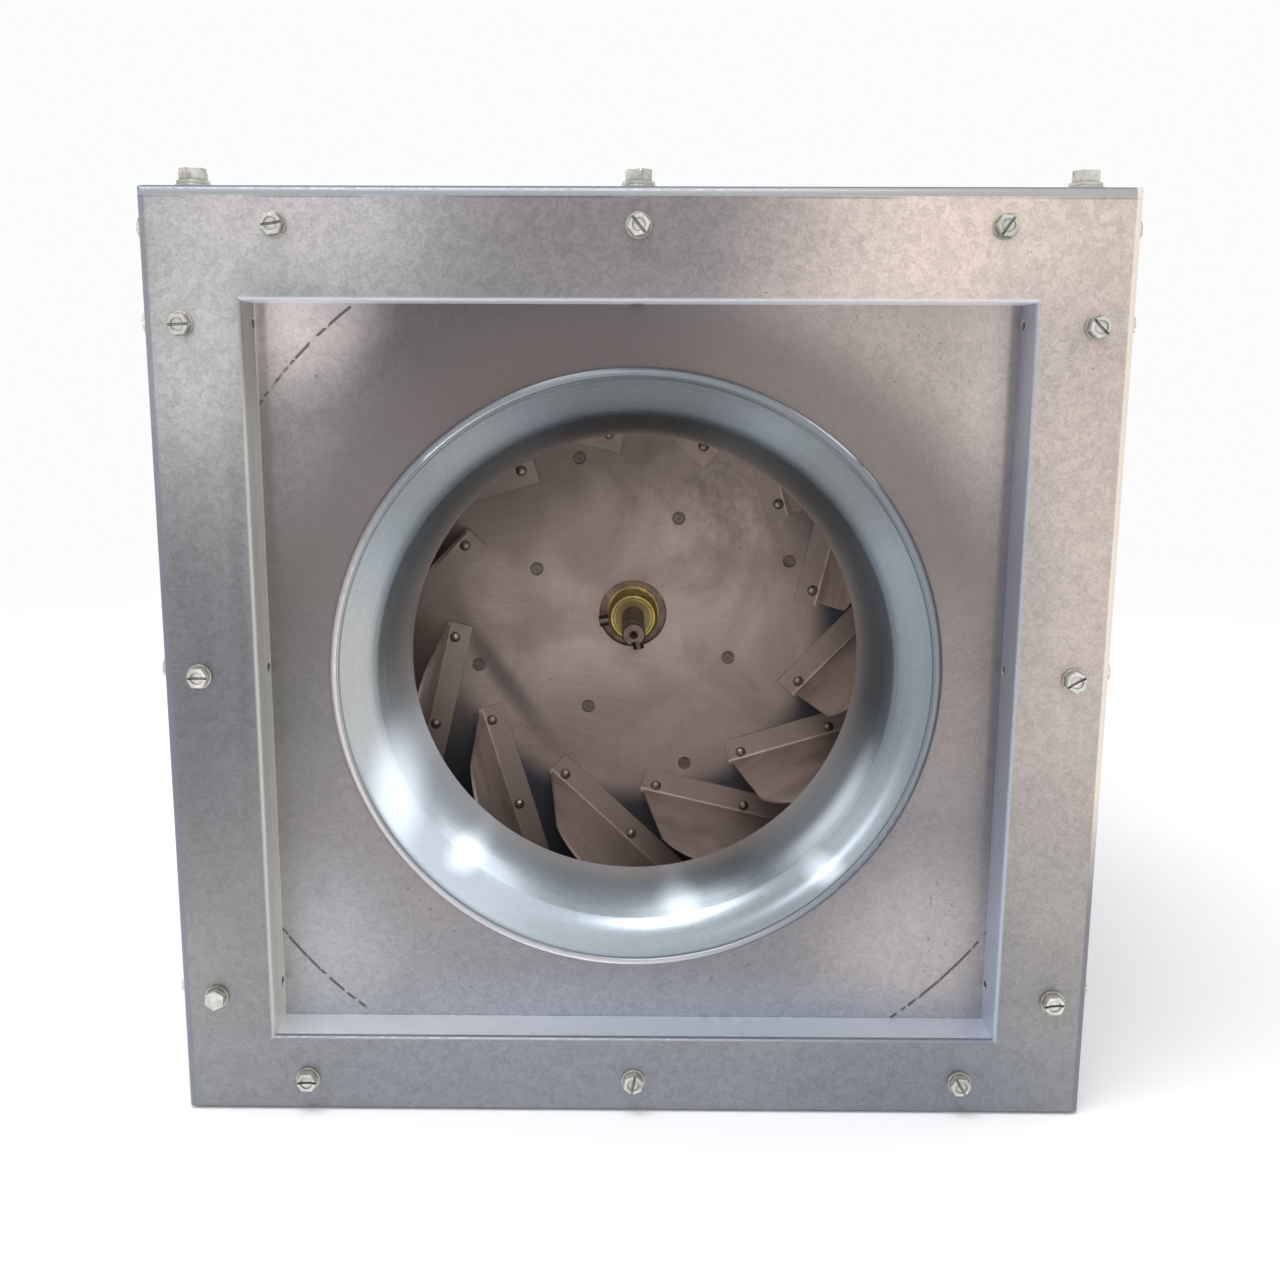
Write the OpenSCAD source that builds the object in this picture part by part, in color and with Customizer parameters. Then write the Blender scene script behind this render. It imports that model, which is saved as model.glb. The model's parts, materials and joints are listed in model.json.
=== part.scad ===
// Inline duct fan: a square casing of galvanised sheet with a spun inlet cone, a centrifugal
// impeller with flat backward-leaning blades, and a motor on cross rails behind the impeller.
// X is to the right, Y follows the air from inlet to outlet, and Z is up.
// The origin is the middle of the casing's underside.

/* [Casing] */
// Outside width and height of the square casing
box_w = 400; // [396:1:410]
// Length of the casing along the airflow
box_l = 400; // [400:5:440]
// Thickness of the galvanised sheet
sheet = 1.2; // [1:0.1:1.3]
// Depth of the end frames' outer flanges
frame_flange = 30; // [28:1:34]
// Outside radius of the sheet bends
bend_r = 3; // [2.5:0.5:3.5]
// Width of the panels' folded end flanges
panel_flange = 25; // [22:1:26]
// Leg of the corner posts' angle section
post_leg = 25; // [22:1:28]

/* [Duct openings] */
// Side of the square duct opening in each end frame
duct = 320; // [312:2:324]
// How far the opening sits below the middle of the casing
duct_drop = 5; // [2:1:6]
// Depth of the opening's folded lip, down to the inlet plate
duct_depth = 22; // [21:1:24]

/* [Casing screws] */
// Distance of the face screws from the casing's outer edge
face_screw_edge = 15.3; // [14:0.1:16]
// Distance of the outer face screws from the middle of their side
face_screw_span = 145.6; // [140:0.2:150]
// Distance of the side screws from the casing's end
side_screw_y = 18; // [17:0.5:18.5]
// Distance of the side screws from the middle of the side
side_screw_span = 147; // [140:1:150]
// Distance of the corner side screws from the middle of the side
corner_screw_span = 185; // [182:1:186]
// Distance of the outer cover screws from the middle of the cover
cover_screw_span = 182; // [178:1:182]
// Thread diameter of the sheet-metal screws
screw_d = 4.2; // [3.9:0.1:4.8]
// Length of the sheet-metal screws under the head
screw_l = 13; // [10:1:13]
// Width across the flats of the sheet-metal screws' heads
screw_flats = 8; // [7:0.5:8.5]
// Thread diameter of the cover screws
cover_screw_d = 6.3; // [5.5:0.1:6.3]
// Width across the flats of the cover screws' heads
cover_screw_flats = 10; // [9:0.5:11]

/* [Inlet cone] */
// Radius of the cone's throat
throat_r = 104.4; // [103:0.1:105]
// Radius over the cone's rolled rim
rim_r = 134.5; // [133:0.5:138]
// Radius of the rolled rim
rim_roll = 3.5; // [3:0.1:4]
// Radius of the bell's nose, next to the rim
nose_r = 20; // [17:1:22]
// Distance of the throat's end from the casing's front face
throat_end = 66; // [64:1:68]
// Length of the straight part of the throat
throat_straight = 5.5; // [4:0.5:7]
// Thickness of the spun sheet
cone_sheet = 1.5; // [1.2:0.1:1.6]

/* [Impeller] */
// Outside radius of the impeller
wheel_r = 157.5; // [155:0.5:160]
// Distance of the backplate's front face from the casing's front face
plate_depth = 178; // [176:1:180]
// Thickness of the backplate and its stiffening disc
plate_t = 2; // [1.5:0.1:2.5]
// Number of blades
blade_count = 12; // [9:1:12]
// Thickness of the blades and the shroud
blade_t = 1.5; // [1.2:0.1:1.6]
// Radius of the blades' inner rivets
rivet_r = 99.3; // [99:0.1:100]
// Angle between a blade's chord and the radius at its inner rivet
blade_lean = 69; // [68:0.5:72]
// Angle of the first blade's inner rivet
blade_turn = 7.8; // [0:0.1:30]
// Inside radius of the shroud's eye
eye_r = 108.5; // [108:0.1:109.5]
// Radius of the shroud's bend behind the eye
eye_bend = 35; // [32:1:38]
// Slope of the shroud's conical part from the axis
shroud_slope = 50; // [48:1:54]

/* [Hub and shaft] */
// Diameter of the shaft
shaft_d = 12; // [12:0.1:12.2]
// Distance of the shaft's front end ahead of the backplate
shaft_nose = 61; // [55:1:65]
// Radius of the hub's boss
boss_r = 13.5; // [13:0.5:15]
// Distance of the boss's front end ahead of the backplate
boss_nose = 13; // [11:1:15]
// Radius of the hub's flange
hub_flange_r = 68; // [66:1:72]
// Radius of the stiffening disc behind the backplate
stiffener_r = 98; // [97:1:100]
// Width of the key and its keyways
key_w = 4; // [3:0.5:5]
// Angle of the keyway around the shaft
key_angle = -80; // [-110:1:-70]

/* [Motor] */
// Outside radius of the motor's shell
motor_r = 70; // [68:1:72]
// Distance of the motor's shell behind the backplate
motor_back = 58; // [56:1:60]
// Length of the motor's shell
motor_l = 96; // [94:1:98]
// Height of the cross rails' top face
rail_top = 104; // [100:1:106]
// Distance between the cross rails
rail_pitch = 64; // [60:1:66]
// Sideways distance between the rubber mounts
mount_pitch = 130; // [124:2:134]

/* [Junction box] */
// Outside length and height of the box
jbox_w = 84; // [80:1:90]
// Depth of the box, without its lid
jbox_d = 36; // [34:1:42]
// Height of the box's middle above the underside
jbox_z = 270; // [265:1:280]
// Radius of the cable entry's bore
entry_r = 5.5; // [4:0.5:6]

/* [Hidden] */
$fn = 48;

gap = 0.1;               // clearance between neighbouring sheets
fit_gap = 0.02;          // radial clearance of parts that sit on the shaft
hole_gap = 0.2;          // radial clearance of screws and rivets in their holes
eps = 0.01;              // overlap that keeps a cut from leaving a skin
half = box_w / 2;
front_y = -box_l / 2;
back_y = box_l / 2;
axis_z = half - duct_drop;

tongue = sheet + gap;                    // depth of the panels' tongues under the frames
tongue_in = tongue + sheet;              // depth of the tongues' inner face
panel_end = box_l / 2 - sheet - gap;     // half length of a panel over its end flanges
seam = box_l / 2 - frame_flange - 0.5;   // half length of a panel's outer face
plate_y = front_y + duct_depth;          // front face of the inlet plate

// Fixing nuts in the base.
nut_pitch_x = 300;
nut_pitch_y = 260;
nut_bore_r = 4.1;
nut_shank_r = 5.4;

// Inlet cone: a rolled rim, a tight nose arc, a wide bell arc and a straight throat.
nose_y = plate_y - gap - rim_roll;
rim_mid = rim_r - rim_roll;
cone_end = front_y + throat_end;
bell_end = cone_end - throat_straight;
bell_dr = rim_mid - throat_r;
bell_dy = bell_end - nose_y - nose_r;
bell_r = (bell_dr * bell_dr + bell_dy * bell_dy - nose_r * nose_r) / (2 * (bell_dr - nose_r));
join_angle = atan2(bell_dy, bell_r - bell_dr);
cone_hole_r = rim_mid - 2;

// Impeller.
back_front = front_y + plate_depth;      // front face of the backplate
back_rear = back_front + plate_t;
disc_rear = back_rear + plate_t;
eye_y = cone_end - 6;                    // the eye overlaps the throat by 6 mm
eye_bend_y = eye_y + 9;
chord_d = rivet_r * sin(blade_lean);     // distance of the rivet line from the axis
chord_u = rivet_r * cos(blade_lean);     // the inner rivet's place along the chord
rivet_pitch = 51;
fold_out = 5.5;                          // the wall's distance outside the rivet line
flange_in = 8.5;                         // the flange's reach inside the rivet line
wall_d = chord_d + fold_out;
blade_end_u = sqrt(pow(wheel_r - 2, 2) - wall_d * wall_d);
hub_hole_r = 18.5;
inner_ring_r = 58.3;
outer_ring_r = 90.4;
inner_ring_turn = 65;
outer_ring_turn = 19;

// Hub and shaft.
boss_y = back_front - boss_nose;
hub_y = disc_rear + gap;
hub_flange_t = 5;
hub_end = hub_y + 28;
shaft_y = back_front - shaft_nose;
shaft_r = shaft_d / 2;
key_h = 4;
key_seat = shaft_r - 2.5;

// Motor.
shell_y = back_front + motor_back;
shell_end = shell_y + motor_l;
shell_t = 3;
shield_t = 4;
bearing_w = 10;
bearing_r = 16;
bearing_front = shell_y - 12;
bearing_rear = shell_end + 2;
spring_t = 1.2;
ball_r = 3;
ball_ring = 11;
ball_count = 7;
core_l = 56;
core_y = shell_y + (motor_l - core_l) / 2;
core_end = core_y + core_l;
rotor_r = 36;
air_gap = 0.5;
slot_count = 24;
slot_ring = 43.5;
slot_r = 3.2;
shoulder_r = 8;
rail_y = shell_y + motor_l / 2;
rail_w = 30;
rail_t = 2;
rail_half = half - sheet - gap;
mount_h = 14;
foot_z = rail_top + mount_h + gap;
foot_t = 4;
bolt_d = 6;
jbox_x = half + gap;
jbox_t = 2.5;
cable_r = 4;
cable_bend = 20;
cable_z = axis_z + 10;
grommet_x = motor_r;
grommet_y = core_end + 7.5;
jbox_y = grommet_y - 16;

zinc = [0.70, 0.71, 0.73];
bright_zinc = [0.82, 0.82, 0.78];
alu = [0.62, 0.58, 0.55];
yellow_zinc = [0.62, 0.55, 0.25];
dark_steel = [0.33, 0.31, 0.31];
motor_grey = [0.45, 0.47, 0.48];
copper = [0.72, 0.42, 0.25];
black = [0.09, 0.09, 0.10];

// ---- Places ----

// A flat shape, drawn in X and Z, as a plate from y0 to y1.
module slab(y0, y1) {
    translate([0, y1, 0]) rotate([90, 0, 0]) linear_extrude(y1 - y0) children();
}

// A profile of radius and Y, turned around the impeller's axis.
module turned() {
    translate([0, 0, axis_z]) rotate([-90, 0, 0]) rotate_extrude() children();
}

// Children placed at an angle and a radius around the impeller's axis.
module around(angle, radius) {
    translate([0, 0, axis_z]) rotate([0, -angle, 0]) translate([radius, 0, 0]) children();
}

// Children turned about the impeller's axis, with their own origin on the axis.
module turned_to(angle) {
    translate([0, 0, axis_z]) rotate([0, -angle, 0]) children();
}

// A rod along Y.
module rod_y(r, y0, y1) {
    slab(y0, y1) circle(r);
}

// A strip of an annulus between two angles, the outer radius being r.
module arc_strip(centre, r, t, a0, a1) {
    mid = (a0 + a1) / 2;
    reach = 2 * r;
    translate(centre) intersection() {
        difference() {
            circle(r);
            circle(r - t);
        }
        polygon([
            [0, 0],
            [reach * cos(a0), reach * sin(a0)],
            [reach * cos(mid), reach * sin(mid)],
            [reach * cos(a1), reach * sin(a1)]
        ]);
    }
}

// ---- Fasteners ----

// A slotted hexagon head with a dished top on a round flange, with a threaded shank that runs
// down -Z.
module hex_screw(d, len, flats, flange_d, slot_turn) {
    head_h = flats / 2;
    flange_t = d / 4;
    difference() {
        union() {
            translate([0, 0, gap]) cylinder(d = flange_d, h = flange_t);
            translate([0, 0, flange_t]) rotate(slot_turn)
                cylinder(r = flats / sqrt(3), h = head_h, $fn = 6);
        }
        translate([0, 0, flange_t + head_h - 0.6]) cylinder(r = flats * 0.34, h = 1);
        rotate(slot_turn) translate([-flats, -0.6, flange_t + head_h - 1.6])
            cube([2 * flats, 1.2, 2]);
    }
    translate([0, 0, -len + d / 2]) cylinder(d = d, h = len - d / 2 + gap + eps);
    translate([0, 0, -len]) cylinder(r1 = 0.4, r2 = d / 2, h = d / 2);
}

module sheet_screw(slot_turn) {
    hex_screw(screw_d, screw_l, screw_flats, screw_flats * 1.31, slot_turn);
}

// A cover screw stands on its own washer.
module cover_screw(i) {
    washer_t = 1.6;
    difference() {
        translate([0, 0, gap]) cylinder(d = cover_screw_flats * 1.5, h = washer_t);
        translate([0, 0, -1]) cylinder(d = cover_screw_d - 1, h = 4);
    }
    translate([0, 0, washer_t]) hex_screw(
        cover_screw_d, 16 + washer_t, cover_screw_flats, cover_screw_flats * 1.35, 80 * i
    );
}

// A domed rivet head of radius r on the plane z = 0, with its crown up.
module dome(r, h) {
    ball = (r * r + h * h) / (2 * h);
    intersection() {
        translate([0, 0, h - ball]) sphere(ball);
        cylinder(r = r + 1, h = h + 1);
    }
}

// Places of the twelve screws on an end frame's face, as [x, z].
face_screws = concat(
    [for (x = [-1, 0, 1], s = [-1, 1]) [x * face_screw_span, half + s * (half - face_screw_edge)]],
    [for (z = [-1, 0, 1], s = [-1, 1]) [s * (half - face_screw_edge), half + z * face_screw_span]]
);

// The way each screw's slot lies, in degrees.
slot_turns = [0, 8, 80, 130, 120, 55, 25, 5, 1, 30, 3, 135];

// Heights of the screws through a side flange.
side_heights = [half - side_screw_span, half, half + side_screw_span, half + corner_screw_span];
end_signs = [-1, 1];
screw_y = box_l / 2 - side_screw_y;
cover_edge = half - 15;
cover_rows = [-90, 0, 90];
post_rows = [-120, -40, 40, 120];
post_rivet_z = [14, box_w - 14];

module face_holes() {
    for (p = face_screws) translate([p[0], 0, p[1]])
        rod_y(screw_d / 2 + hole_gap, front_y - 1, back_y + 1);
}

module side_holes() {
    for (e = end_signs, z = side_heights) translate([0, e * screw_y, z])
        rotate([0, 90, 0]) cylinder(d = screw_d + 2 * hole_gap, h = 2 * box_w, center = true);
}

module cover_holes() {
    r = cover_screw_d / 2 + hole_gap;
    for (e = end_signs, x = [-1, 0, 1]) translate([x * cover_screw_span, e * screw_y, half])
        cylinder(r = r, h = box_w);
    for (s = end_signs, y = cover_rows) translate([s * cover_edge, y, half])
        cylinder(r = r, h = box_w);
}

module post_rivet_holes() {
    for (z = post_rivet_z, y = post_rows) translate([0, y, z])
        rotate([0, 90, 0]) cylinder(r = 2 + hole_gap, h = 2 * box_w, center = true);
}

module rail_bolt_holes() {
    for (y = rail_ys, z = rail_bolt_zs) translate([0, y, z])
        rotate([0, 90, 0]) cylinder(d = bolt_d + 2 * hole_gap, h = 2 * box_w, center = true);
}

// ---- End frames and panels ----

// Half of a block's outline, in width and Y, with rounded front corners.
module nosed(w, y0, y1, r) {
    translate([-w, y0 + r]) square([2 * w, y1 - y0 - r]);
    translate([-w + r, y0]) square([2 * (w - r), r + eps]);
    for (s = end_signs) translate([s * (w - r), y0 + r]) circle(r);
}

// The outline of an opening whose edge flares out to the face at y0.
module flared(w, y0, y1, r, lead) {
    translate([-w, y0 - lead]) square([2 * w, y1 - y0 + lead]);
    difference() {
        translate([-w - r, y0 - lead]) square([2 * (w + r), r + lead]);
        for (s = end_signs) translate([s * (w + r), y0 + r]) circle(r);
    }
}

// The same outline in both directions, around the height z.
module both_ways(w, z) {
    translate([0, 0, z]) intersection() {
        linear_extrude(2 * w, center = true) children();
        rotate([0, -90, 0]) linear_extrude(2 * w, center = true) children();
    }
}

// A square with rounded corners, w either side of the middle.
module soft_square(w, r) {
    translate([-w, -w + r]) square([2 * w, 2 * (w - r)]);
    translate([-w + r, -w]) square([2 * (w - r), 2 * w]);
    for (x = end_signs, z = end_signs) translate([x * (w - r), z * (w - r)]) circle(r);
}

// A folded tray with the square duct opening, for the casing's front end.
module end_frame() {
    inner_r = bend_r - sheet;
    lip_end = plate_y - gap;
    difference() {
        union() {
            difference() {
                intersection() {
                    both_ways(half, half) nosed(half, front_y, front_y + frame_flange, bend_r);
                    translate([0, 0, half]) slab(front_y - 1, front_y + frame_flange + 1)
                        soft_square(half, 2 * sheet);
                }
                both_ways(half - sheet, half)
                    nosed(half - sheet, front_y + sheet, front_y + frame_flange + 1, inner_r);
            }
            both_ways(half - 1, axis_z)
                flared(duct / 2 + sheet, front_y + sheet, lip_end, inner_r, 0);
        }
        both_ways(half - 1, axis_z) flared(duct / 2, front_y, lip_end + 1, bend_r, 1);
        face_holes();
        side_holes();
        cover_holes();
    }
}

module inlet_frame() {
    color(zinc) end_frame();
}

module outlet_frame() {
    color(zinc) mirror([0, 1, 0]) end_frame();
}

// A casing panel, drawn as the base with its inner side up. The outer face is w either side of
// the middle, and the tongues under the end frames are tongue_w either side.
module panel(w, tongue_w) {
    step = 1.2;
    translate([-w, -seam, 0]) cube([2 * w, 2 * seam, sheet]);
    for (m = [0, 1]) mirror([0, m, 0]) {
        translate([-tongue_w, -seam, 0]) cube([2 * tongue_w, step, tongue_in]);
        intersection() {
            union() {
                translate([-tongue_w, -panel_end, tongue])
                    cube([2 * tongue_w, panel_end - seam + step, sheet]);
                slab(-panel_end, -panel_end + sheet) polygon([
                    [-flange_half(tongue, tongue_w), tongue],
                    [flange_half(tongue, tongue_w), tongue],
                    [flange_half(panel_flange, tongue_w), panel_flange],
                    [-flange_half(panel_flange, tongue_w), panel_flange]
                ]);
            }
            both_ways(half - tongue, half)
                nosed(half - tongue, -panel_end, -seam + 2 * step, bend_r - tongue);
        }
    }
}

// Half length of an end flange at a depth, mitred along the casing's corner diagonal.
function flange_half(depth, tongue_w) = min(tongue_w, half - depth - 2 * gap);

base_w = half - sheet - gap;
base_tongue_w = half - tongue_in - gap;
side_tongue_w = half - tongue;

module base_panel() {
    color(zinc) difference() {
        panel(base_w, base_tongue_w);
        face_holes();
        at_base_nuts() translate([0, 0, -1]) cylinder(r = nut_shank_r + gap, h = 4);
    }
}

// Clinch nuts pressed into the base panel from inside, for the fan's fixing bolts.
module base_nuts() {
    color(bright_zinc) at_base_nuts() difference() {
        union() {
            translate([0, 0, 0.1]) cylinder(r = nut_shank_r, h = sheet + 1);
            translate([0, 0, sheet + gap]) cylinder(r = nut_shank_r + 2, h = 6);
        }
        translate([0, 0, -1]) cylinder(r = nut_bore_r, h = 10);
    }
}

module at_base_nuts() {
    for (x = end_signs, y = end_signs)
        translate([x * nut_pitch_x / 2, y * nut_pitch_y / 2, 0]) children();
}

module top_cover() {
    color(zinc) difference() {
        translate([0, 0, box_w]) mirror([0, 0, 1]) panel(base_w, base_tongue_w);
        face_holes();
        cover_holes();
    }
}

module left_panel() {
    color(zinc) difference() {
        translate([-half, 0, half]) rotate([0, 90, 0]) panel(half, side_tongue_w);
        face_holes();
        side_holes();
        post_rivet_holes();
        rail_bolt_holes();
    }
}

module right_panel() {
    color(zinc) difference() {
        translate([half, 0, half]) rotate([0, -90, 0]) panel(half, side_tongue_w);
        face_holes();
        side_holes();
        post_rivet_holes();
        rail_bolt_holes();
        grommet_hole();
        jbox_screw_holes();
    }
}

// Angle sections inside the four long corners of the casing.
module corner_posts() {
    t = 1.5;
    l = 2 * (seam - 5);
    color(zinc) difference() {
        for (mx = [0, 1], mz = [0, 1])
            translate([0, 0, half]) mirror([mx, 0, 0]) mirror([0, 0, mz])
                translate([-half + tongue, -l / 2, -half + tongue]) {
                    cube([post_leg, l, t]);
                    cube([t, l, post_leg]);
                }
        cover_holes();
        post_rivet_holes();
    }
}

// ---- Inlet plate and cone ----

// A square plate with a rim folded forward, inside the panels' tongues.
module inlet_plate() {
    w = half - tongue_in - gap;
    rim_y = -panel_end + sheet + 0.5;
    color(zinc) difference() {
        translate([-w, rim_y, half - w]) cube([2 * w, plate_y + sheet - rim_y, 2 * w]);
        translate([-w + sheet, rim_y - 1, half - w + sheet])
            cube([2 * (w - sheet), plate_y - rim_y + 1, 2 * (w - sheet)]);
        translate([0, 0, axis_z]) rod_y(cone_hole_r, plate_y - 1, plate_y + sheet + 1);
        side_holes();
        cover_holes();
    }
}

// The spun bellmouth: its rolled rim sits on the inlet plate.
module inlet_cone() {
    t = cone_sheet;
    color([0.72, 0.76, 0.78]) difference() {
        turned() {
            arc_strip([rim_mid, nose_y + rim_roll], rim_roll, t, -90, 0);
            arc_strip([rim_mid, nose_y + nose_r], nose_r, t, -180 + join_angle, -90);
            arc_strip([throat_r + bell_r, bell_end], bell_r, t, -180, -180 + join_angle);
            translate([throat_r, bell_end]) square([t, throat_straight]);
        }
        rim_groove();
    }
}

// A fine groove just inside the rolled rim.
module rim_groove() {
    turned() translate([rim_mid - 0.8, nose_y - 0.15]) circle(0.6);
}

// ---- Screws and rivets of the casing ----

module front_face_screws() {
    color(bright_zinc) for (i = [0 : len(face_screws) - 1])
        translate([face_screws[i][0], front_y, face_screws[i][1]])
            rotate([90, 0, 0]) sheet_screw(slot_turns[i]);
}

module rear_face_screws() {
    color(bright_zinc) mirror([0, 1, 0]) front_face_screws();
}

module side_screws() {
    color(bright_zinc) for (s = end_signs, e = end_signs, i = [0 : len(side_heights) - 1])
        translate([s * half, e * screw_y, side_heights[i]])
            rotate([0, s * 90, 0]) sheet_screw(slot_turns[i + s + e + 2]);
}

module cover_screws() {
    color(bright_zinc) {
        for (e = end_signs, x = [-1, 0, 1])
            translate([x * cover_screw_span, e * screw_y, box_w]) cover_screw(x + e);
        for (s = end_signs, y = cover_rows)
            translate([s * cover_edge, y, box_w]) cover_screw(y / 90 + s);
    }
}

// Blind rivets that hold the side panels to the corner posts.
module post_rivets() {
    color(bright_zinc) for (s = end_signs, z = post_rivet_z, y = post_rows)
        translate([s * (half + gap), y, z]) rotate([0, s * 90, 0]) {
            dome(4, 1.4);
            translate([0, 0, -5]) cylinder(r = 2, h = 5 + eps);
            translate([0, 0, -5]) cylinder(r = 2.8, h = 1.6);
        }
}

// ---- Motor support ----

rail_ys = [rail_y - rail_pitch / 2, rail_y + rail_pitch / 2];
rail_bolt_zs = [rail_top - 42, rail_top + 14];
mount_xs = [-mount_pitch / 2, mount_pitch / 2];

// A channel, open below, with an end plate bolted to each side panel.
module rail(y) {
    depth = 30;
    end_t = 2;
    end_low = rail_top - 54;
    end_h = 80;
    difference() {
        translate([0, y, 0]) {
            difference() {
                translate([-rail_half, -rail_w / 2, rail_top - depth])
                    cube([2 * rail_half, rail_w, depth]);
                translate([-half, -rail_w / 2 + rail_t, rail_top - depth - 1])
                    cube([box_w, rail_w - 2 * rail_t, depth + 1 - rail_t]);
            }
            for (s = end_signs) translate([s * (rail_half - end_t / 2), 0, end_low + end_h / 2])
                cube([end_t, rail_w, end_h], center = true);
        }
        for (x = mount_xs) translate([x, y, rail_top - 5])
            cylinder(d = bolt_d + 2 * hole_gap, h = 10);
        rail_bolt_holes();
    }
}

module front_rail() {
    color(zinc) rail(rail_ys[0]);
}

module rear_rail() {
    color(zinc) rail(rail_ys[1]);
}

// Hexagon bolts through the side panels into the rails' end plates, with their nuts inside.
module rail_bolts() {
    color(bright_zinc) for (s = end_signs, y = rail_ys, z = rail_bolt_zs)
        translate([s * (half + gap), y, z]) rotate([0, s * 90, 0]) {
            cylinder(r = 6.4, h = 1.2);
            translate([0, 0, 1.1]) cylinder(r = 10 / sqrt(3), h = 4, $fn = 6);
            translate([0, 0, -14]) cylinder(d = bolt_d, h = 14 + eps);
            translate([0, 0, -12.5]) cylinder(r = 10 / sqrt(3), h = 5, $fn = 6);
        }
}

module at_mounts() {
    for (x = mount_xs, y = rail_ys) translate([x, y, 0]) children();
}

module rubber_mounts() {
    color(black) at_mounts() translate([0, 0, rail_top + gap / 2]) difference() {
        cylinder(r = 11, h = mount_h);
        translate([0, 0, -1]) cylinder(d = bolt_d + 2 * hole_gap, h = mount_h + 2);
        translate([0, 0, mount_h / 2]) rotate_extrude() translate([12.5, 0]) circle(3);
    }
}

// Bolts up through the rails, the rubber mounts and the motor's foot, with nuts on top.
module mount_bolts() {
    top = foot_z + foot_t;
    color(bright_zinc) at_mounts() {
        translate([0, 0, rail_top - rail_t - gap - 4]) cylinder(r = 10 / sqrt(3), h = 4, $fn = 6);
        translate([0, 0, rail_top - rail_t - gap - eps])
            cylinder(d = bolt_d, h = top + 10 - rail_top + rail_t);
        translate([0, 0, top + gap]) cylinder(r = 6.4, h = 1.2);
        translate([0, 0, top + gap + 1.1]) cylinder(r = 10 / sqrt(3), h = 5, $fn = 6);
    }
}

// A pressed foot: a plate on the rubber mounts and two saddles around the shell.
module motor_foot() {
    w = mount_pitch / 2 + 16;
    l = rail_pitch / 2 + 16;
    saddle_t = 4;
    saddle_w = 52;
    saddle_h = 42;
    color(zinc) difference() {
        union() {
            translate([-w, rail_y - l, foot_z]) cube([2 * w, 2 * l, foot_t]);
            for (s = end_signs) translate([-saddle_w, rail_y + s * 20 - saddle_t / 2, foot_z])
                cube([2 * saddle_w, saddle_t, saddle_h]);
        }
        translate([0, 0, axis_z]) rod_y(motor_r + gap, rail_y - 60, rail_y + 60);
        at_mounts() translate([0, 0, foot_z - 1])
            cylinder(d = bolt_d + 2 * hole_gap, h = foot_t + 2);
        for (s = end_signs) translate([s * (motor_r - 16), rail_y, foot_z - 1])
            cylinder(r = 5, h = foot_t + 2);
    }
}

// ---- Motor ----

module motor_shell() {
    color(motor_grey) difference() {
        turned() translate([motor_r - shell_t, shell_y + gap]) square([shell_t, motor_l - 2 * gap]);
        grommet_seat();
    }
}

// An end shield, in radius and distance outward from the shell's end. The bearing goes in from
// the inside, up to a lip.
module shield_profile(seat_end) {
    spigot_r = motor_r - shell_t - gap;
    seat_wall = bearing_r + 5;
    lip = 2;
    difference() {
        union() {
            square([motor_r, shield_t]);
            translate([spigot_r - 3, -5]) square([3, 6]);
            translate([0, -5]) square([seat_wall, seat_end + lip + 5]);
        }
        translate([-1, -6]) square([bearing_r + fit_gap + 1, seat_end + 6]);
        translate([-1, -6]) square([bearing_r - lip + 1, 60]);
    }
}

front_seat_end = shell_y - bearing_front;
rear_seat_end = bearing_rear + bearing_w + spring_t - shell_end;

module shield_bolt_places() {
    for (k = [0 : 3]) turned_to(45 + 90 * k) translate([motor_r - 9.5, 0, 0]) children();
}

// Air vents between the shield's ribs.
module shield_vents(y0, y1) {
    for (k = [0 : 11]) turned_to(15 + 30 * k) translate([38, 0, 0]) rod_y(5, y0, y1);
}

module bolt_holes_y(y0, y1) {
    shield_bolt_places() rod_y(2 + hole_gap, y0, y1);
}

module front_shield() {
    color(motor_grey) difference() {
        translate([0, shell_y, 0]) mirror([0, 1, 0]) turned()
            shield_profile(front_seat_end);
        bolt_holes_y(shell_y - 20, shell_y + 10);
        shield_vents(shell_y - 20, shell_y + 10);
    }
}

module rear_shield() {
    color(motor_grey) difference() {
        translate([0, shell_end, 0]) turned() shield_profile(rear_seat_end);
        bolt_holes_y(shell_end - 10, shell_end + 20);
        shield_vents(shell_end - 10, shell_end + 20);
    }
}

// Long bolts that clamp both shields to the shell.
module shield_bolts() {
    y0 = shell_y - shield_t;
    y1 = shell_end + shield_t;
    color(bright_zinc) shield_bolt_places() {
        rod_y(2, y0 - 6, y1 + eps);
        slab(y0 - 4 - gap, y0 - gap) circle(r = 7 / sqrt(3), $fn = 6);
        slab(y1 + gap, y1 + gap + 3) circle(r = 7 / sqrt(3), $fn = 6);
        rod_y(2, y1 - 1, y1 + gap + 1);
    }
}

// A laminated ring with slots for the windings and clearance for the long bolts.
module stator_core() {
    color([0.35, 0.36, 0.38]) difference() {
        turned() translate([rotor_r + air_gap, core_y])
            square([motor_r - shell_t - gap - rotor_r - air_gap, core_l]);
        for (k = [0 : slot_count - 1]) turned_to(360 / slot_count * k) {
            translate([slot_ring, 0, 0]) rod_y(slot_r, core_y - 1, core_end + 1);
            translate([rotor_r - 2, core_y - 1, -1])
                cube([slot_ring - rotor_r + 2, core_l + 2, 2]);
        }
        shield_bolt_places() rod_y(2.4, core_y - 1, core_end + 1);
    }
}

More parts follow.
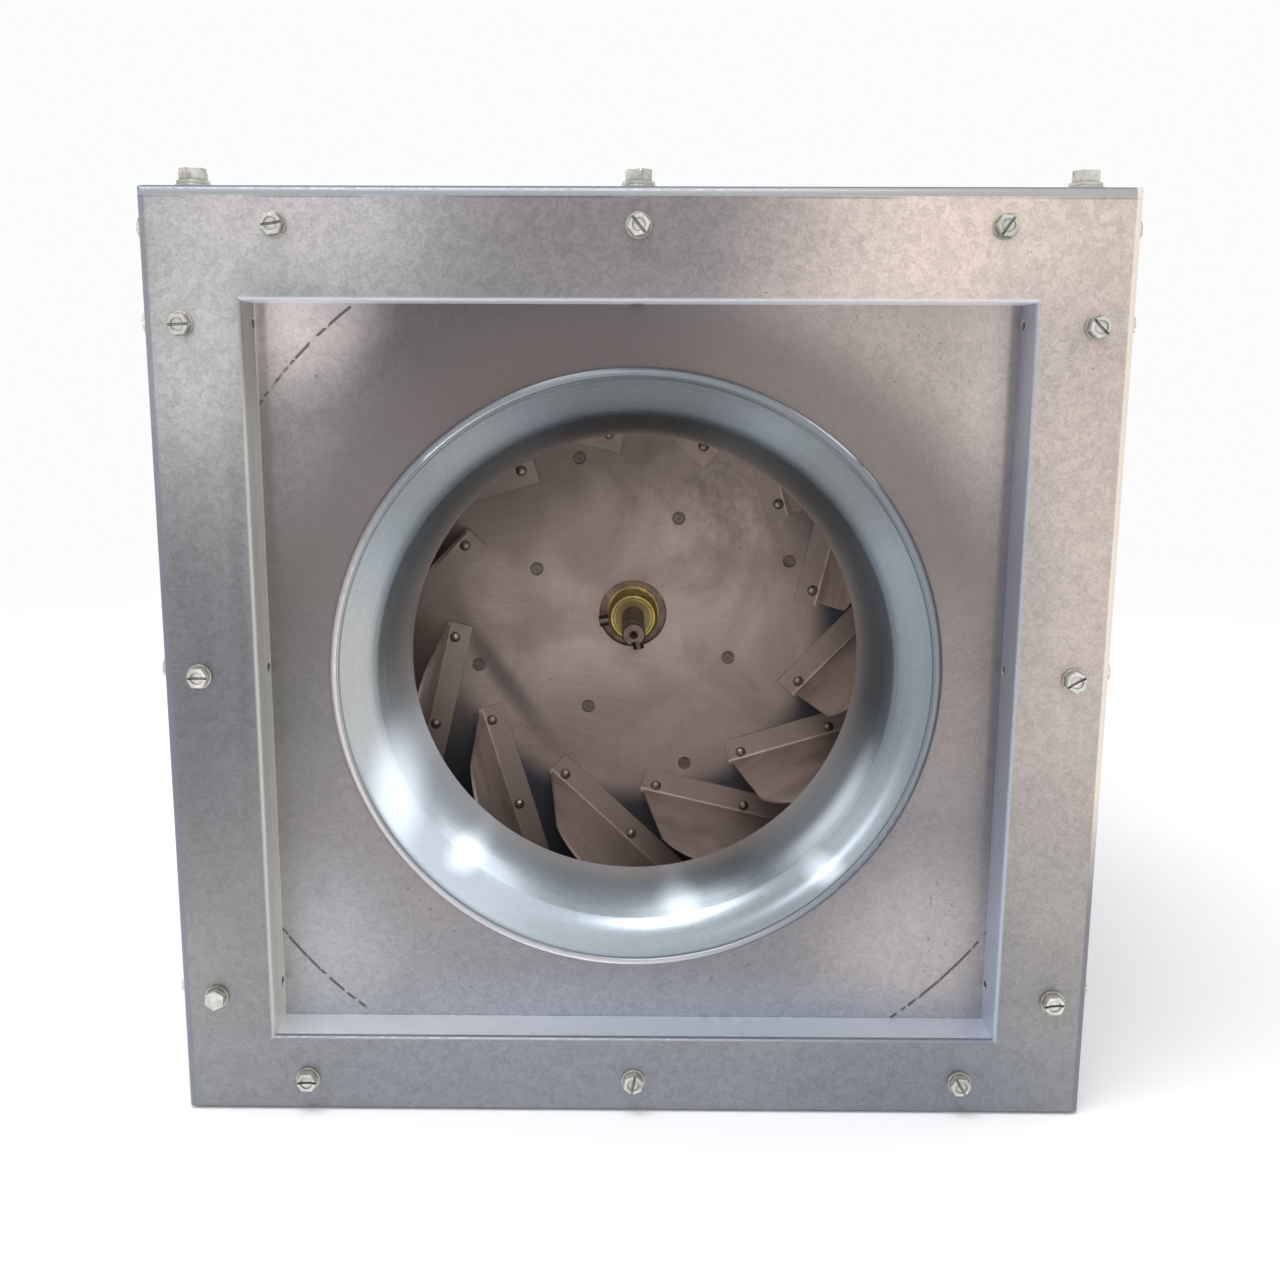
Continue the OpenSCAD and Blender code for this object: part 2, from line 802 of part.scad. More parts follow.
// Copper bars in the slots, joined by the end turns.
module stator_windings() {
    r = slot_r - 0.3;
    turn_l = 12;
    color(copper) {
        for (k = [0 : slot_count - 1]) turned_to(360 / slot_count * k)
            translate([slot_ring, 0, 0]) rod_y(r, core_y - 2, core_end + 2);
        for (y = [core_y - 1 - turn_l, core_end + 1]) turned() {
            translate([slot_ring - 2, y + 3]) square([8, turn_l - 6]);
            translate([slot_ring + 1, y]) square([2, turn_l]);
            for (x = [1, 3], dy = [3, turn_l - 3]) translate([slot_ring + x, y + dy]) circle(3);
        }
    }
}

module rotor_core() {
    color([0.42, 0.42, 0.44]) turned() translate([shoulder_r + fit_gap, core_y])
        square([rotor_r - shoulder_r - fit_gap, core_l]);
}

module rotor_end_rings() {
    t = 5;
    color(alu) for (y = [core_y - gap - t, core_end + gap])
        turned() translate([22, y]) square([rotor_r - 24, t]);
}

// Deep-groove ball bearings of 12 mm bore, 32 mm outside and 10 mm width.
module at_bearings() {
    for (y = [bearing_front, bearing_rear]) translate([0, y + bearing_w / 2, 0]) children();
}

module race(r0, r1) {
    turned() difference() {
        translate([r0, -bearing_w / 2 + 0.05]) square([r1 - r0, bearing_w - 0.1]);
        translate([ball_ring, 0]) circle(ball_r + 0.05);
    }
}

module bearing_outer_rings() {
    color(dark_steel) at_bearings() race(13.1, bearing_r);
}

module bearing_inner_rings() {
    color(dark_steel) at_bearings() race(shaft_r + fit_gap, 8.9);
}

module at_balls() {
    for (k = [0 : ball_count - 1]) around(360 / ball_count * k, ball_ring) children();
}

module bearing_balls() {
    color(bright_zinc) at_bearings() at_balls() sphere(ball_r);
}

module bearing_cages() {
    color([0.55, 0.50, 0.35]) at_bearings() difference() {
        turned() translate([ball_ring - 0.8, -4]) square([1.6, 8]);
        at_balls() rotate([0, 90, 0]) cylinder(r = ball_r + 0.06, h = 4, center = true);
    }
}

// A spring washer between the rear bearing and the lip of its seat.
module preload_spring() {
    color(dark_steel) turned() translate([14.1, bearing_rear + bearing_w + gap])
        square([1.7, spring_t - 2 * gap]);
}

// ---- Motor capacitor and cable ----

cap_r = 17;
cap_l = 70;
cap_x = -(motor_r + cap_r + 3);
cap_z = axis_z + 14;

module capacitor() {
    translate([cap_x, 0, cap_z]) {
        color([0.80, 0.80, 0.76]) {
            rod_y(cap_r, rail_y - cap_l / 2, rail_y + cap_l / 2 - 4);
            rod_y(cap_r - 1.5, rail_y + cap_l / 2 - 4 - eps, rail_y + cap_l / 2);
        }
        color(black) for (s = end_signs) translate([s * 6, 0, 0])
            rod_y(1.6, rail_y + cap_l / 2 - eps, rail_y + cap_l / 2 + 8);
    }
}

// A band around the capacitor, with a lug on the shell's side.
module capacitor_strap() {
    t = 1.2;
    w = 14;
    color(zinc) difference() {
        union() {
            translate([cap_x, 0, cap_z]) rod_y(cap_r + gap + t, rail_y - w / 2, rail_y + w / 2);
            translate([cap_x + cap_r - 2, rail_y - w / 2, cap_z - 6]) cube([14, w, 12]);
        }
        translate([cap_x, 0, cap_z]) rod_y(cap_r + gap, rail_y - w, rail_y + w);
        translate([0, 0, axis_z]) rod_y(motor_r + gap, rail_y - w, rail_y + w);
    }
}

// A round seat in the shell's wall for the cable's grommet.
module grommet_seat() {
    translate([grommet_x - 12, grommet_y, cable_z]) rotate([0, 90, 0])
        cylinder(r = 7 + gap, h = 20);
}

module shell_grommet() {
    color(black) translate([grommet_x - 6, grommet_y, cable_z]) rotate([0, 90, 0])
        difference() {
            union() {
                cylinder(r = 7, h = 9);
                translate([0, 0, 6.5]) cylinder(r = 9, h = 4);
            }
            translate([0, 0, -1]) cylinder(r = cable_r + gap, h = 20);
        }
}

panel_cable_z = cable_z + 2 * cable_bend + 12;

// The cable leaves the shell, climbs and goes out through the right panel.
module motor_cable() {
    x0 = grommet_x - 8;
    bend_x = grommet_x + 42;
    end_x = jbox_x + jbox_t + 6;
    color(black) translate([0, grommet_y, 0]) {
        translate([x0, 0, cable_z]) rotate([0, 90, 0]) cylinder(r = cable_r, h = bend_x - x0);
        translate([bend_x, 0, cable_z + cable_bend]) rotate([90, 0, 0])
            rotate_extrude(angle = 90, start = 270) translate([cable_bend, 0]) circle(cable_r);
        translate([bend_x + cable_bend, 0, cable_z + cable_bend])
            cylinder(r = cable_r, h = 12);
        translate([bend_x + 2 * cable_bend, 0, panel_cable_z - cable_bend]) rotate([90, 0, 0])
            rotate_extrude(angle = 90, start = 90) translate([cable_bend, 0]) circle(cable_r);
        translate([bend_x + 2 * cable_bend, 0, panel_cable_z]) rotate([0, 90, 0])
            cylinder(r = cable_r, h = end_x - bend_x - 2 * cable_bend);
    }
}

module grommet_hole() {
    translate([half - 20, grommet_y, panel_cable_z]) rotate([0, 90, 0])
        cylinder(r = 8, h = 40);
}

// A rubber ring that lines the hole in the panel and the box's back.
module panel_grommet() {
    color(black) translate([half - sheet - 3, grommet_y, panel_cable_z]) rotate([0, 90, 0])
        difference() {
            union() {
                cylinder(r = 10, h = 2.8);
                cylinder(r = 8 - gap, h = 12);
            }
            translate([0, 0, -1]) cylinder(r = cable_r + gap, h = 20);
        }
}

// ---- Junction box ----

jbox_screws = [for (y = [-1, 1], z = [-1, 1]) [jbox_y + y * 24, jbox_z + z * 24]];
lid_corners = [for (y = [-1, 1], z = [-1, 1])
    [jbox_y + y * (jbox_w / 2 - 7), jbox_z + z * (jbox_w / 2 - 7)]];

module jbox_screw_holes() {
    for (p = jbox_screws) translate([half - 10, p[0], p[1]]) rotate([0, 90, 0])
        cylinder(r = 2 + hole_gap, h = 20);
}

// A square in Y and Z with round corners, as a block from x0 to x1.
module jbox_block(x0, x1, w, r) {
    translate([x0, jbox_y, jbox_z]) rotate([0, 90, 0]) linear_extrude(x1 - x0) {
        square([2 * w, 2 * (w - r)], center = true);
        square([2 * (w - r), 2 * w], center = true);
        for (a = end_signs, b = end_signs) translate([a * (w - r), b * (w - r)]) circle(r);
    }
}

module junction_box() {
    w = jbox_w / 2;
    color([0.75, 0.76, 0.77]) difference() {
        union() {
            difference() {
                jbox_block(jbox_x, jbox_x + jbox_d, w, 5);
                jbox_block(jbox_x + jbox_t, jbox_x + jbox_d + 1, w - jbox_t, 3);
            }
            for (p = lid_corners) translate([jbox_x + 1, p[0], p[1]]) rotate([0, 90, 0])
                cylinder(r = 5, h = jbox_d - 1);
        }
        for (p = lid_corners) translate([jbox_x + 14, p[0], p[1]]) rotate([0, 90, 0])
            cylinder(r = 1.5 + hole_gap, h = jbox_d);
        for (p = jbox_screws) translate([jbox_x - 1, p[0], p[1]]) rotate([0, 90, 0])
            cylinder(r = 2 + hole_gap, h = 10);
        grommet_hole();
        translate([jbox_x + jbox_d / 2, jbox_y, jbox_z - w - 1]) cylinder(r = 8 + gap, h = 8);
    }
}

module junction_lid() {
    x = jbox_x + jbox_d + gap;
    color([0.75, 0.76, 0.77]) difference() {
        union() {
            jbox_block(x, x + 4, jbox_w / 2, 5);
            jbox_block(x - 3, x + eps, jbox_w / 2 - 12, 3);
        }
        for (p = lid_corners) translate([x - 1, p[0], p[1]]) rotate([0, 90, 0]) {
            cylinder(r = 1.5 + hole_gap, h = 10);
            translate([0, 0, 3]) cylinder(r = 3.4, h = 10);
        }
    }
}

// Lid screws and the screws that hold the box to the panel.
module lid_screws() {
    x = jbox_x + jbox_d + gap;
    color(bright_zinc) {
        for (p = lid_corners) translate([x + 2 + gap, p[0], p[1]]) rotate([0, 90, 0])
            difference() {
                union() {
                    dome(3, 1.6);
                    translate([0, 0, -18]) cylinder(r = 1.5, h = 18 + eps);
                }
                for (a = [0, 90]) rotate(a) translate([-2, -0.35, 0.8]) cube([4, 0.7, 2]);
            }
        for (p = jbox_screws) translate([jbox_x + jbox_t + gap, p[0], p[1]]) rotate([0, 90, 0])
            difference() {
                union() {
                    dome(3.8, 2.2);
                    translate([0, 0, -9]) cylinder(r = 2, h = 9 + eps);
                }
                for (a = [0, 90]) rotate(a) translate([-2, -0.4, 1.2]) cube([4, 0.8, 2]);
            }
    }
}

// A row of screw terminals on a plastic block.
module terminal_block() {
    x = jbox_x + jbox_t + gap;
    ways = 4;
    block_z = jbox_z + 14;
    pitch = 9;
    color([0.86, 0.86, 0.82]) difference() {
        translate([x, jbox_y - ways * pitch / 2, block_z - 10]) cube([12, ways * pitch, 20]);
        for (i = [0 : ways - 1], z = [-1, 1]) {
            translate([x + 5, jbox_y + (i - (ways - 1) / 2) * pitch, block_z + z * 5.5])
                rotate([0, 90, 0]) cylinder(r = 2.2, h = 10);
        }
        for (i = [0 : ways - 1])
            translate([x + 4, jbox_y + (i - (ways - 1) / 2) * pitch, block_z - 20])
                cylinder(r = 1.8, h = 40);
    }
}

gland_x = jbox_x + jbox_d / 2;
gland_z = jbox_z - jbox_w / 2;

// The supply cable's gland, through the bottom of the junction box.
module cable_gland() {
    color(black) translate([gland_x, jbox_y, gland_z]) difference() {
        union() {
            translate([0, 0, -gap - 5]) cylinder(r = 20 / sqrt(3), h = 5, $fn = 6);
            translate([0, 0, -gap - 14]) cylinder(r = 9, h = 10);
            translate([0, 0, -gap - 1]) cylinder(r = 8, h = 1 + gap + 9);
            translate([0, 0, -gap - 13]) cylinder(r = 18 / sqrt(3), h = 7, $fn = 6);
        }
        translate([0, 0, -30]) cylinder(r = entry_r, h = 60);
    }
}

module gland_nut() {
    color(black) translate([gland_x, jbox_y, gland_z + jbox_t + gap]) difference() {
        cylinder(r = 18 / sqrt(3), h = 5, $fn = 6);
        translate([0, 0, -1]) cylinder(r = 8 + gap, h = 8);
    }
}

// ---- Shaft and hub ----

// The shaft has a wide middle for the rotor core, an open keyway and a centre hole.
module shaft() {
    rear_end = bearing_rear + bearing_w;
    color(dark_steel) difference() {
        union() {
            turned() {
                translate([0, shaft_y + 0.8]) square([shaft_r, rear_end - shaft_y - 0.8]);
                polygon([[0, shaft_y], [shaft_r - 0.8, shaft_y], [shaft_r, shaft_y + 0.8],
                    [shaft_r, shaft_y + 1], [0, shaft_y + 1]]);
                translate([0, bearing_front + bearing_w + gap])
                    square([shoulder_r, bearing_rear - bearing_front - bearing_w - 2 * gap]);
            }
        }
        key_slot(shaft_y - 1, hub_end - 6, key_seat, shaft_r + 1);
        turned() polygon([[0, shaft_y - 1], [2.6, shaft_y - 1], [2.2, shaft_y], [1, shaft_y + 2.5],
            [1, shaft_y + 6], [0, shaft_y + 6.6]]);
    }
}

// A slot for the key between two radii, along the keyway's angle.
module key_slot(y0, y1, r0, r1) {
    turned_to(key_angle) translate([r0, y0, -key_w / 2 - 0.02])
        cube([r1 - r0, y1 - y0, key_w + 0.04]);
}

module shaft_key() {
    y0 = boss_y + 4;
    color(dark_steel) turned_to(key_angle)
        translate([key_seat + 0.03, y0, -key_w / 2])
            cube([key_h - 0.03, hub_end - 8 - y0, key_w]);
}

set_screw_y = boss_y + 6;
set_screw_turns = [key_angle, key_angle - 90];

// Zinc-plated hub: a boss through the backplate and a flange riveted behind the disc.
module impeller_hub() {
    bevel = 1.6;
    color(yellow_zinc) difference() {
        turned() {
            polygon([[shaft_r + fit_gap, boss_y], [boss_r - bevel, boss_y],
                [boss_r, boss_y + bevel], [boss_r, hub_y + 1], [shaft_r + fit_gap, hub_y + 1]]);
            translate([shaft_r + fit_gap, hub_y])
                square([hub_flange_r - shaft_r - fit_gap, hub_flange_t]);
            translate([shaft_r + fit_gap, hub_y])
                square([boss_r + 4 - shaft_r - fit_gap, hub_end - hub_y]);
        }
        key_slot(boss_y - 1, hub_end + 1, shaft_r - 2, key_seat + key_h + 0.1);
        ring_holes(2.2 + hole_gap, hub_y - 1, hub_y + hub_flange_t + 1, inner_rivets);
        for (a = set_screw_turns) turned_to(a) translate([shaft_r - 2, set_screw_y, 0])
            rotate([0, 90, 0]) cylinder(r = 3 + gap, h = 20);
    }
}

// Grub screws across the boss: one bears on the key and one on the shaft.
module set_screws() {
    color(dark_steel) for (i = [0, 1]) turned_to(set_screw_turns[i])
        translate([0, set_screw_y, 0]) rotate([0, 90, 0]) difference() {
            start = (i == 0 ? key_seat + key_h : shaft_r) + gap;
            translate([0, 0, start]) cylinder(r = 3, h = 18.5 - start);
            translate([0, 0, 16]) cylinder(r = 1.7, h = 5, $fn = 6);
        }
}

// ---- Impeller ----

// Rivet places behind the backplate, as [angle, radius].
inner_rivets = [for (k = [0 : 3]) [inner_ring_turn + 90 * k, inner_ring_r]];
outer_rivets = [for (k = [0 : 3]) [outer_ring_turn + 90 * k, outer_ring_r]];
balance_rivet = [-145.7, 117];

module ring_holes(r, y0, y1, places) {
    for (p = places) around(p[0], p[1]) rod_y(r, y0, y1);
}

// Places of the two rivets of each blade.
module at_blades() {
    for (k = [0 : blade_count - 1])
        turned_to(blade_turn + blade_lean + 360 / blade_count * k) children();
}

module at_blade_rivets() {
    for (k = [0 : 1]) translate([chord_u + rivet_pitch * k, 0, -chord_d]) children();
}

// The backplate's holes over the hub's rivets are wide, so the rivets look sunk.
module impeller_backplate() {
    wide_r = 3.6;
    color(alu) difference() {
        turned() translate([hub_hole_r, back_front]) square([wheel_r - hub_hole_r, plate_t]);
        ring_holes(wide_r, back_front - 1, back_rear + 1, inner_rivets);
        ring_holes(wide_r, back_front - 1, back_rear + 1, outer_rivets);
        ring_holes(2 + hole_gap, back_front - 1, back_rear + 1, [balance_rivet]);
        at_blades() at_blade_rivets() rod_y(1.6 + hole_gap, back_front - 1, back_rear + 1);
    }
}

module stiffening_disc() {
    color(alu) difference() {
        turned() translate([hub_hole_r, back_rear + gap])
            square([stiffener_r - hub_hole_r, plate_t - gap]);
        ring_holes(2.2 + hole_gap, back_rear - 1, disc_rear + 1, inner_rivets);
        for (k = [1 : 3]) around(outer_rivets[k][0], outer_rivets[k][1])
            rod_y(2.2 + hole_gap, back_rear - 1, disc_rear + 1);
        at_blades() at_blade_rivets() rod_y(3.4, back_rear - 1, disc_rear + 1);
    }
}

// Tubular rivets in all of the inner ring's holes and three of the outer ring's, and a solid
// rivet that balances the wheel.
module hub_rivets() {
    color(bright_zinc) {
        for (p = inner_rivets) around(p[0], p[1]) sunk_rivet(hub_y + hub_flange_t + gap);
        for (k = [1 : 3]) around(outer_rivets[k][0], outer_rivets[k][1])
            sunk_rivet(disc_rear + gap);
        around(balance_rivet[0], balance_rivet[1]) {
            rod_y(2, back_front - 0.5, back_rear + 0.5);
            rod_y(3, back_front - 1.2, back_front - gap);
            rod_y(3, back_rear + gap, back_rear + 1.2);
        }
    }
}

// A rivet whose front end is set in the backplate's wide hole, up to its head at y.
module sunk_rivet(y) {
    head = back_rear + gap;
    difference() {
        rod_y(2.2, back_front + 0.4, y + eps);
        rod_y(1, back_front - 1, back_front + 2);
    }
    rod_y(2.9, head - 0.8, head - gap);
    rod_y(3.8, y, y + 1.3);
}

// Height of the shroud's flow side above the backplate, at a radius.
function shroud_h(r) = back_front - (
    r < shroud_bend_r
        ? eye_bend_y + sqrt(pow(eye_bend, 2) - pow(eye_r + eye_bend - r, 2))
        : shroud_bend_y + (r - shroud_bend_r) / tan(shroud_slope)
);
shroud_bend_r = eye_r + eye_bend * (1 - cos(shroud_slope));
shroud_bend_y = eye_bend_y + eye_bend * sin(shroud_slope);

// A blade's outline along its chord and above the backplate. The leading edge leans forward
// and rounds over into the shroud, and the front edge follows the shroud.
lead_foot = chord_u - 6;
lead_knee = [chord_u + 3, 72];
lead_top_u = chord_u + 20;
lead_r = 35;
front_steps = 10;
knee_steps = 6;

function front_h(u) = shroud_h(sqrt(u * u + wall_d * wall_d)) - 0.3;

function knee_points() = let (
    a = lead_knee,
    b = [lead_top_u, front_h(lead_top_u)],
    span = norm(b - a),
    along = (b - a) / span,
    drop = sqrt(lead_r * lead_r - span * span / 4),
    c = (a + b) / 2 + drop * [along[1], -along[0]],
    a0 = atan2(a[1] - c[1], a[0] - c[0]),
    a1 = atan2(b[1] - c[1], b[0] - c[0])
) [for (i = [0 : knee_steps])
    c + lead_r * [cos(a0 + (a1 - a0) * i / knee_steps), sin(a0 + (a1 - a0) * i / knee_steps)]];

module blade_outline() {
    polygon(concat(
        [[chord_u - 8, gap / 2], [chord_u - 8, blade_t + 0.2], [lead_foot, 2 * blade_t]],
        knee_points(),
        [for (i = [1 : front_steps]) let (
            u = lead_top_u + (blade_end_u - lead_top_u) * i / front_steps
        ) [u, front_h(u)]],
        [[blade_end_u, gap / 2]]
    ));
}

// A blade's section across its chord: flange, bend and wall.
module blade_section() {
    bend = 2 * blade_t;
    translate([-wall_d + bend, 0]) square([flange_in + fold_out - bend, blade_t]);
    translate([-wall_d, bend]) square([blade_t, 120]);
    arc_strip([-wall_d + bend, bend], bend, blade_t, 180, 270);
}

// Places of the rivets that hold a blade's front tab to the shroud, as [angle, radius].
tab_line = wall_d - 7;
tab_rivets = [for (u = [93, 112]) [-atan2(tab_line, u), norm([u, tab_line])]];

module at_tab_rivets() {
    for (p = tab_rivets) rotate([0, -p[0], 0]) translate([p[1], back_front - shroud_h(p[1]), 0])
        rotate([0, 0, 90 - shroud_slope]) rotate([90, 0, 0]) children();
}

// A tab that lies against the shroud's conical part, from the wall towards the axis.
module blade_tab() {
    r0 = shroud_bend_r + 3;
    r1 = wheel_r - 2;
    y0 = back_front - shroud_h(r0);
    y1 = back_front - shroud_h(r1);
    nx = cos(shroud_slope);
    ny = sin(shroud_slope);
    near = gap;
    far = gap + blade_t;
    intersection() {
        rotate([-90, 0, 0]) rotate_extrude() polygon([
            [r0 - near * nx, y0 + near * ny], [r1 - near * nx, y1 + near * ny],
            [r1 - far * nx, y1 + far * ny], [r0 - far * nx, y0 + far * ny]
        ]);
        translate([74, back_front - 100, -wall_d]) cube([46, 100, flange_in + fold_out - 1]);
    }
}

module blade() {
    difference() {
        union() {
            translate([0, back_front, 0]) intersection() {
                rotate([180, -90, 0]) linear_extrude(blade_end_u + 5) blade_section();
                rotate([180, 0, 0]) linear_extrude(wheel_r) blade_outline();
            }
            blade_tab();
        }
        at_blade_rivets() rod_y(1.6 + hole_gap, back_front - 5, back_front + 1);
        at_tab_rivets() cylinder(r = 1.6 + hole_gap, h = 8, center = true);
    }
}

module impeller_blades() {
    color(alu) at_blades() blade();
}

module blade_rivets() {
    color(bright_zinc) at_blades() at_blade_rivets() {
        rod_y(1.6, back_front - blade_t - 0.5, back_rear + 1);
        translate([0, back_front - blade_t - 0.1, 0]) rotate([90, 0, 0]) dome(2.9, 1.3);
        translate([0, back_rear + 0.1, 0]) rotate([-90, 0, 0]) dome(2.9, 1.3);
    }
}

// Rivets through the shroud and the blades' front tabs.
module shroud_rivets() {
    color(bright_zinc) at_blades() at_tab_rivets() {
        translate([0, 0, -blade_t - 0.6]) cylinder(r = 1.6, h = 2 * blade_t + 1.2);
        translate([0, 0, blade_t + 0.1]) dome(2.9, 1.3);
        translate([0, 0, -blade_t - 0.2]) rotate([180, 0, 0]) dome(2.9, 1.3);
    }
}

// The front shroud: an eye over the cone's throat, a bend and a shallow cone to the rim.
module impeller_shroud() {
    t = blade_t;
    steps = 16;
    nx = cos(shroud_slope);
    ny = sin(shroud_slope);
    rim_y = back_front - shroud_h(wheel_r);
    centre = [eye_r + eye_bend, eye_bend_y];
    color(alu) difference() {
        turned() polygon(concat(
            [[eye_r + t, eye_y], [eye_r, eye_y]],
            [for (i = [0 : steps]) let (a = 180 - shroud_slope * i / steps)
                centre + eye_bend * [cos(a), sin(a)]],
            [[wheel_r, rim_y], [wheel_r + t * nx, rim_y - t * ny]],
            [for (i = [steps : -1 : 0]) let (a = 180 - shroud_slope * i / steps)
                centre + (eye_bend - t) * [cos(a), sin(a)]]
        ));
        at_blades() at_tab_rivets() cylinder(r = 1.6 + hole_gap, h = 8, center = true);
    }
}

inlet_frame();
outlet_frame();
inlet_plate();
inlet_cone();
base_panel();
left_panel();
right_panel();
top_cover();
corner_posts();
base_nuts();
front_face_screws();
rear_face_screws();
side_screws();
cover_screws();
post_rivets();
front_rail();
rear_rail();
rail_bolts();
rubber_mounts();
mount_bolts();
motor_foot();
motor_shell();
front_shield();
rear_shield();
shield_bolts();
stator_core();
stator_windings();
bearing_outer_rings();
preload_spring();
capacitor();
capacitor_strap();
shell_grommet();
motor_cable();
panel_grommet();
junction_box();
junction_lid();
lid_screws();
terminal_block();
cable_gland();
gland_nut();
shaft();
shaft_key();
impeller_hub();
set_screws();
stiffening_disc();
impeller_backplate();
impeller_blades();
impeller_shroud();
blade_rivets();
shroud_rivets();
hub_rivets();
rotor_core();
rotor_end_rings();
bearing_inner_rings();
bearing_balls();
bearing_cages();
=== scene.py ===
# Looks for the inline duct fan: procedural metals, rubber and plastic on the imported parts, with
# painted light and shade on the front, the inlet plate, the cone and the impeller, a pale floor, soft
# light and a camera in front of the inlet, a little above its middle.
import json
import math
import bpy
from mathutils import Matrix, Vector


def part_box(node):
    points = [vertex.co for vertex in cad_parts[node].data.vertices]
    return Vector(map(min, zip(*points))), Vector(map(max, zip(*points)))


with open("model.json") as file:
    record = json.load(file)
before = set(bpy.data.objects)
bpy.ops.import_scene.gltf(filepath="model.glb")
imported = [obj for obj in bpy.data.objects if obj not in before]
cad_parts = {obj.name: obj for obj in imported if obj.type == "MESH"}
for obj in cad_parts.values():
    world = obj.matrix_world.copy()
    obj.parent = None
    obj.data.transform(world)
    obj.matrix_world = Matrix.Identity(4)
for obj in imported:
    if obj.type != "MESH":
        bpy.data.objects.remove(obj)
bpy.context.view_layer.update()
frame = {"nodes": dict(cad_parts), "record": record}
scene = bpy.context.scene

MM = 0.001
record = frame["record"]
nodes = frame["nodes"]
slot_of = {s["node"]: s["material_slot"] for s in record["subparts"]}

case_lo, case_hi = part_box("inlet_frame")
cone_lo, cone_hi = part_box("inlet_cone")
axis = Vector(((cone_lo[0] + cone_hi[0]) / 2, 0, (cone_lo[2] + cone_hi[2]) / 2))
front = case_lo[1]
top_z = case_hi[2]
mid = (case_lo[2] + case_hi[2]) / 2

# Sizes of the folded sheet and the spun cone that a node's box doesn't give.
opening_half = 0.1625  # half the opening's width, over its bends
plate_edge = 0.1575  # where the inlet plate disappears behind the lips
lip_end = 0.0190  # depth at which the opening's lip bends again
fold = 0.0030  # depth of the bends behind the front face
seam = 0.0042  # height of the bend along the top edge
ring_r = 0.1990  # the ring scratched round the cone
shade_r = 0.1840  # how far the shade beside the cone reaches
shade_full_r = 0.1480  # where that shade is at its darkest
bell_r = 0.1120  # the narrow part of the bell
shadow_streak_at = (-0.075, axis.z - 0.0325)  # middle of the painted shadow streak on the backplate
rim_r = 0.1300  # where the cone's rolled rim starts
boss_r = 0.0139  # radius of the hub's boss
turned_r = 0.0106  # a fine line turned into the boss
camera_place = (-0.0057, -0.7615, 0.3316)


def linear(rgb):
    """sRGB values of 0 to 255 as linear colour."""
    out = []
    for v in rgb:
        v /= 255
        out.append(v / 12.92 if v <= 0.04045 else ((v + 0.055) / 1.055) ** 2.4)
    return (*out, 1.0)


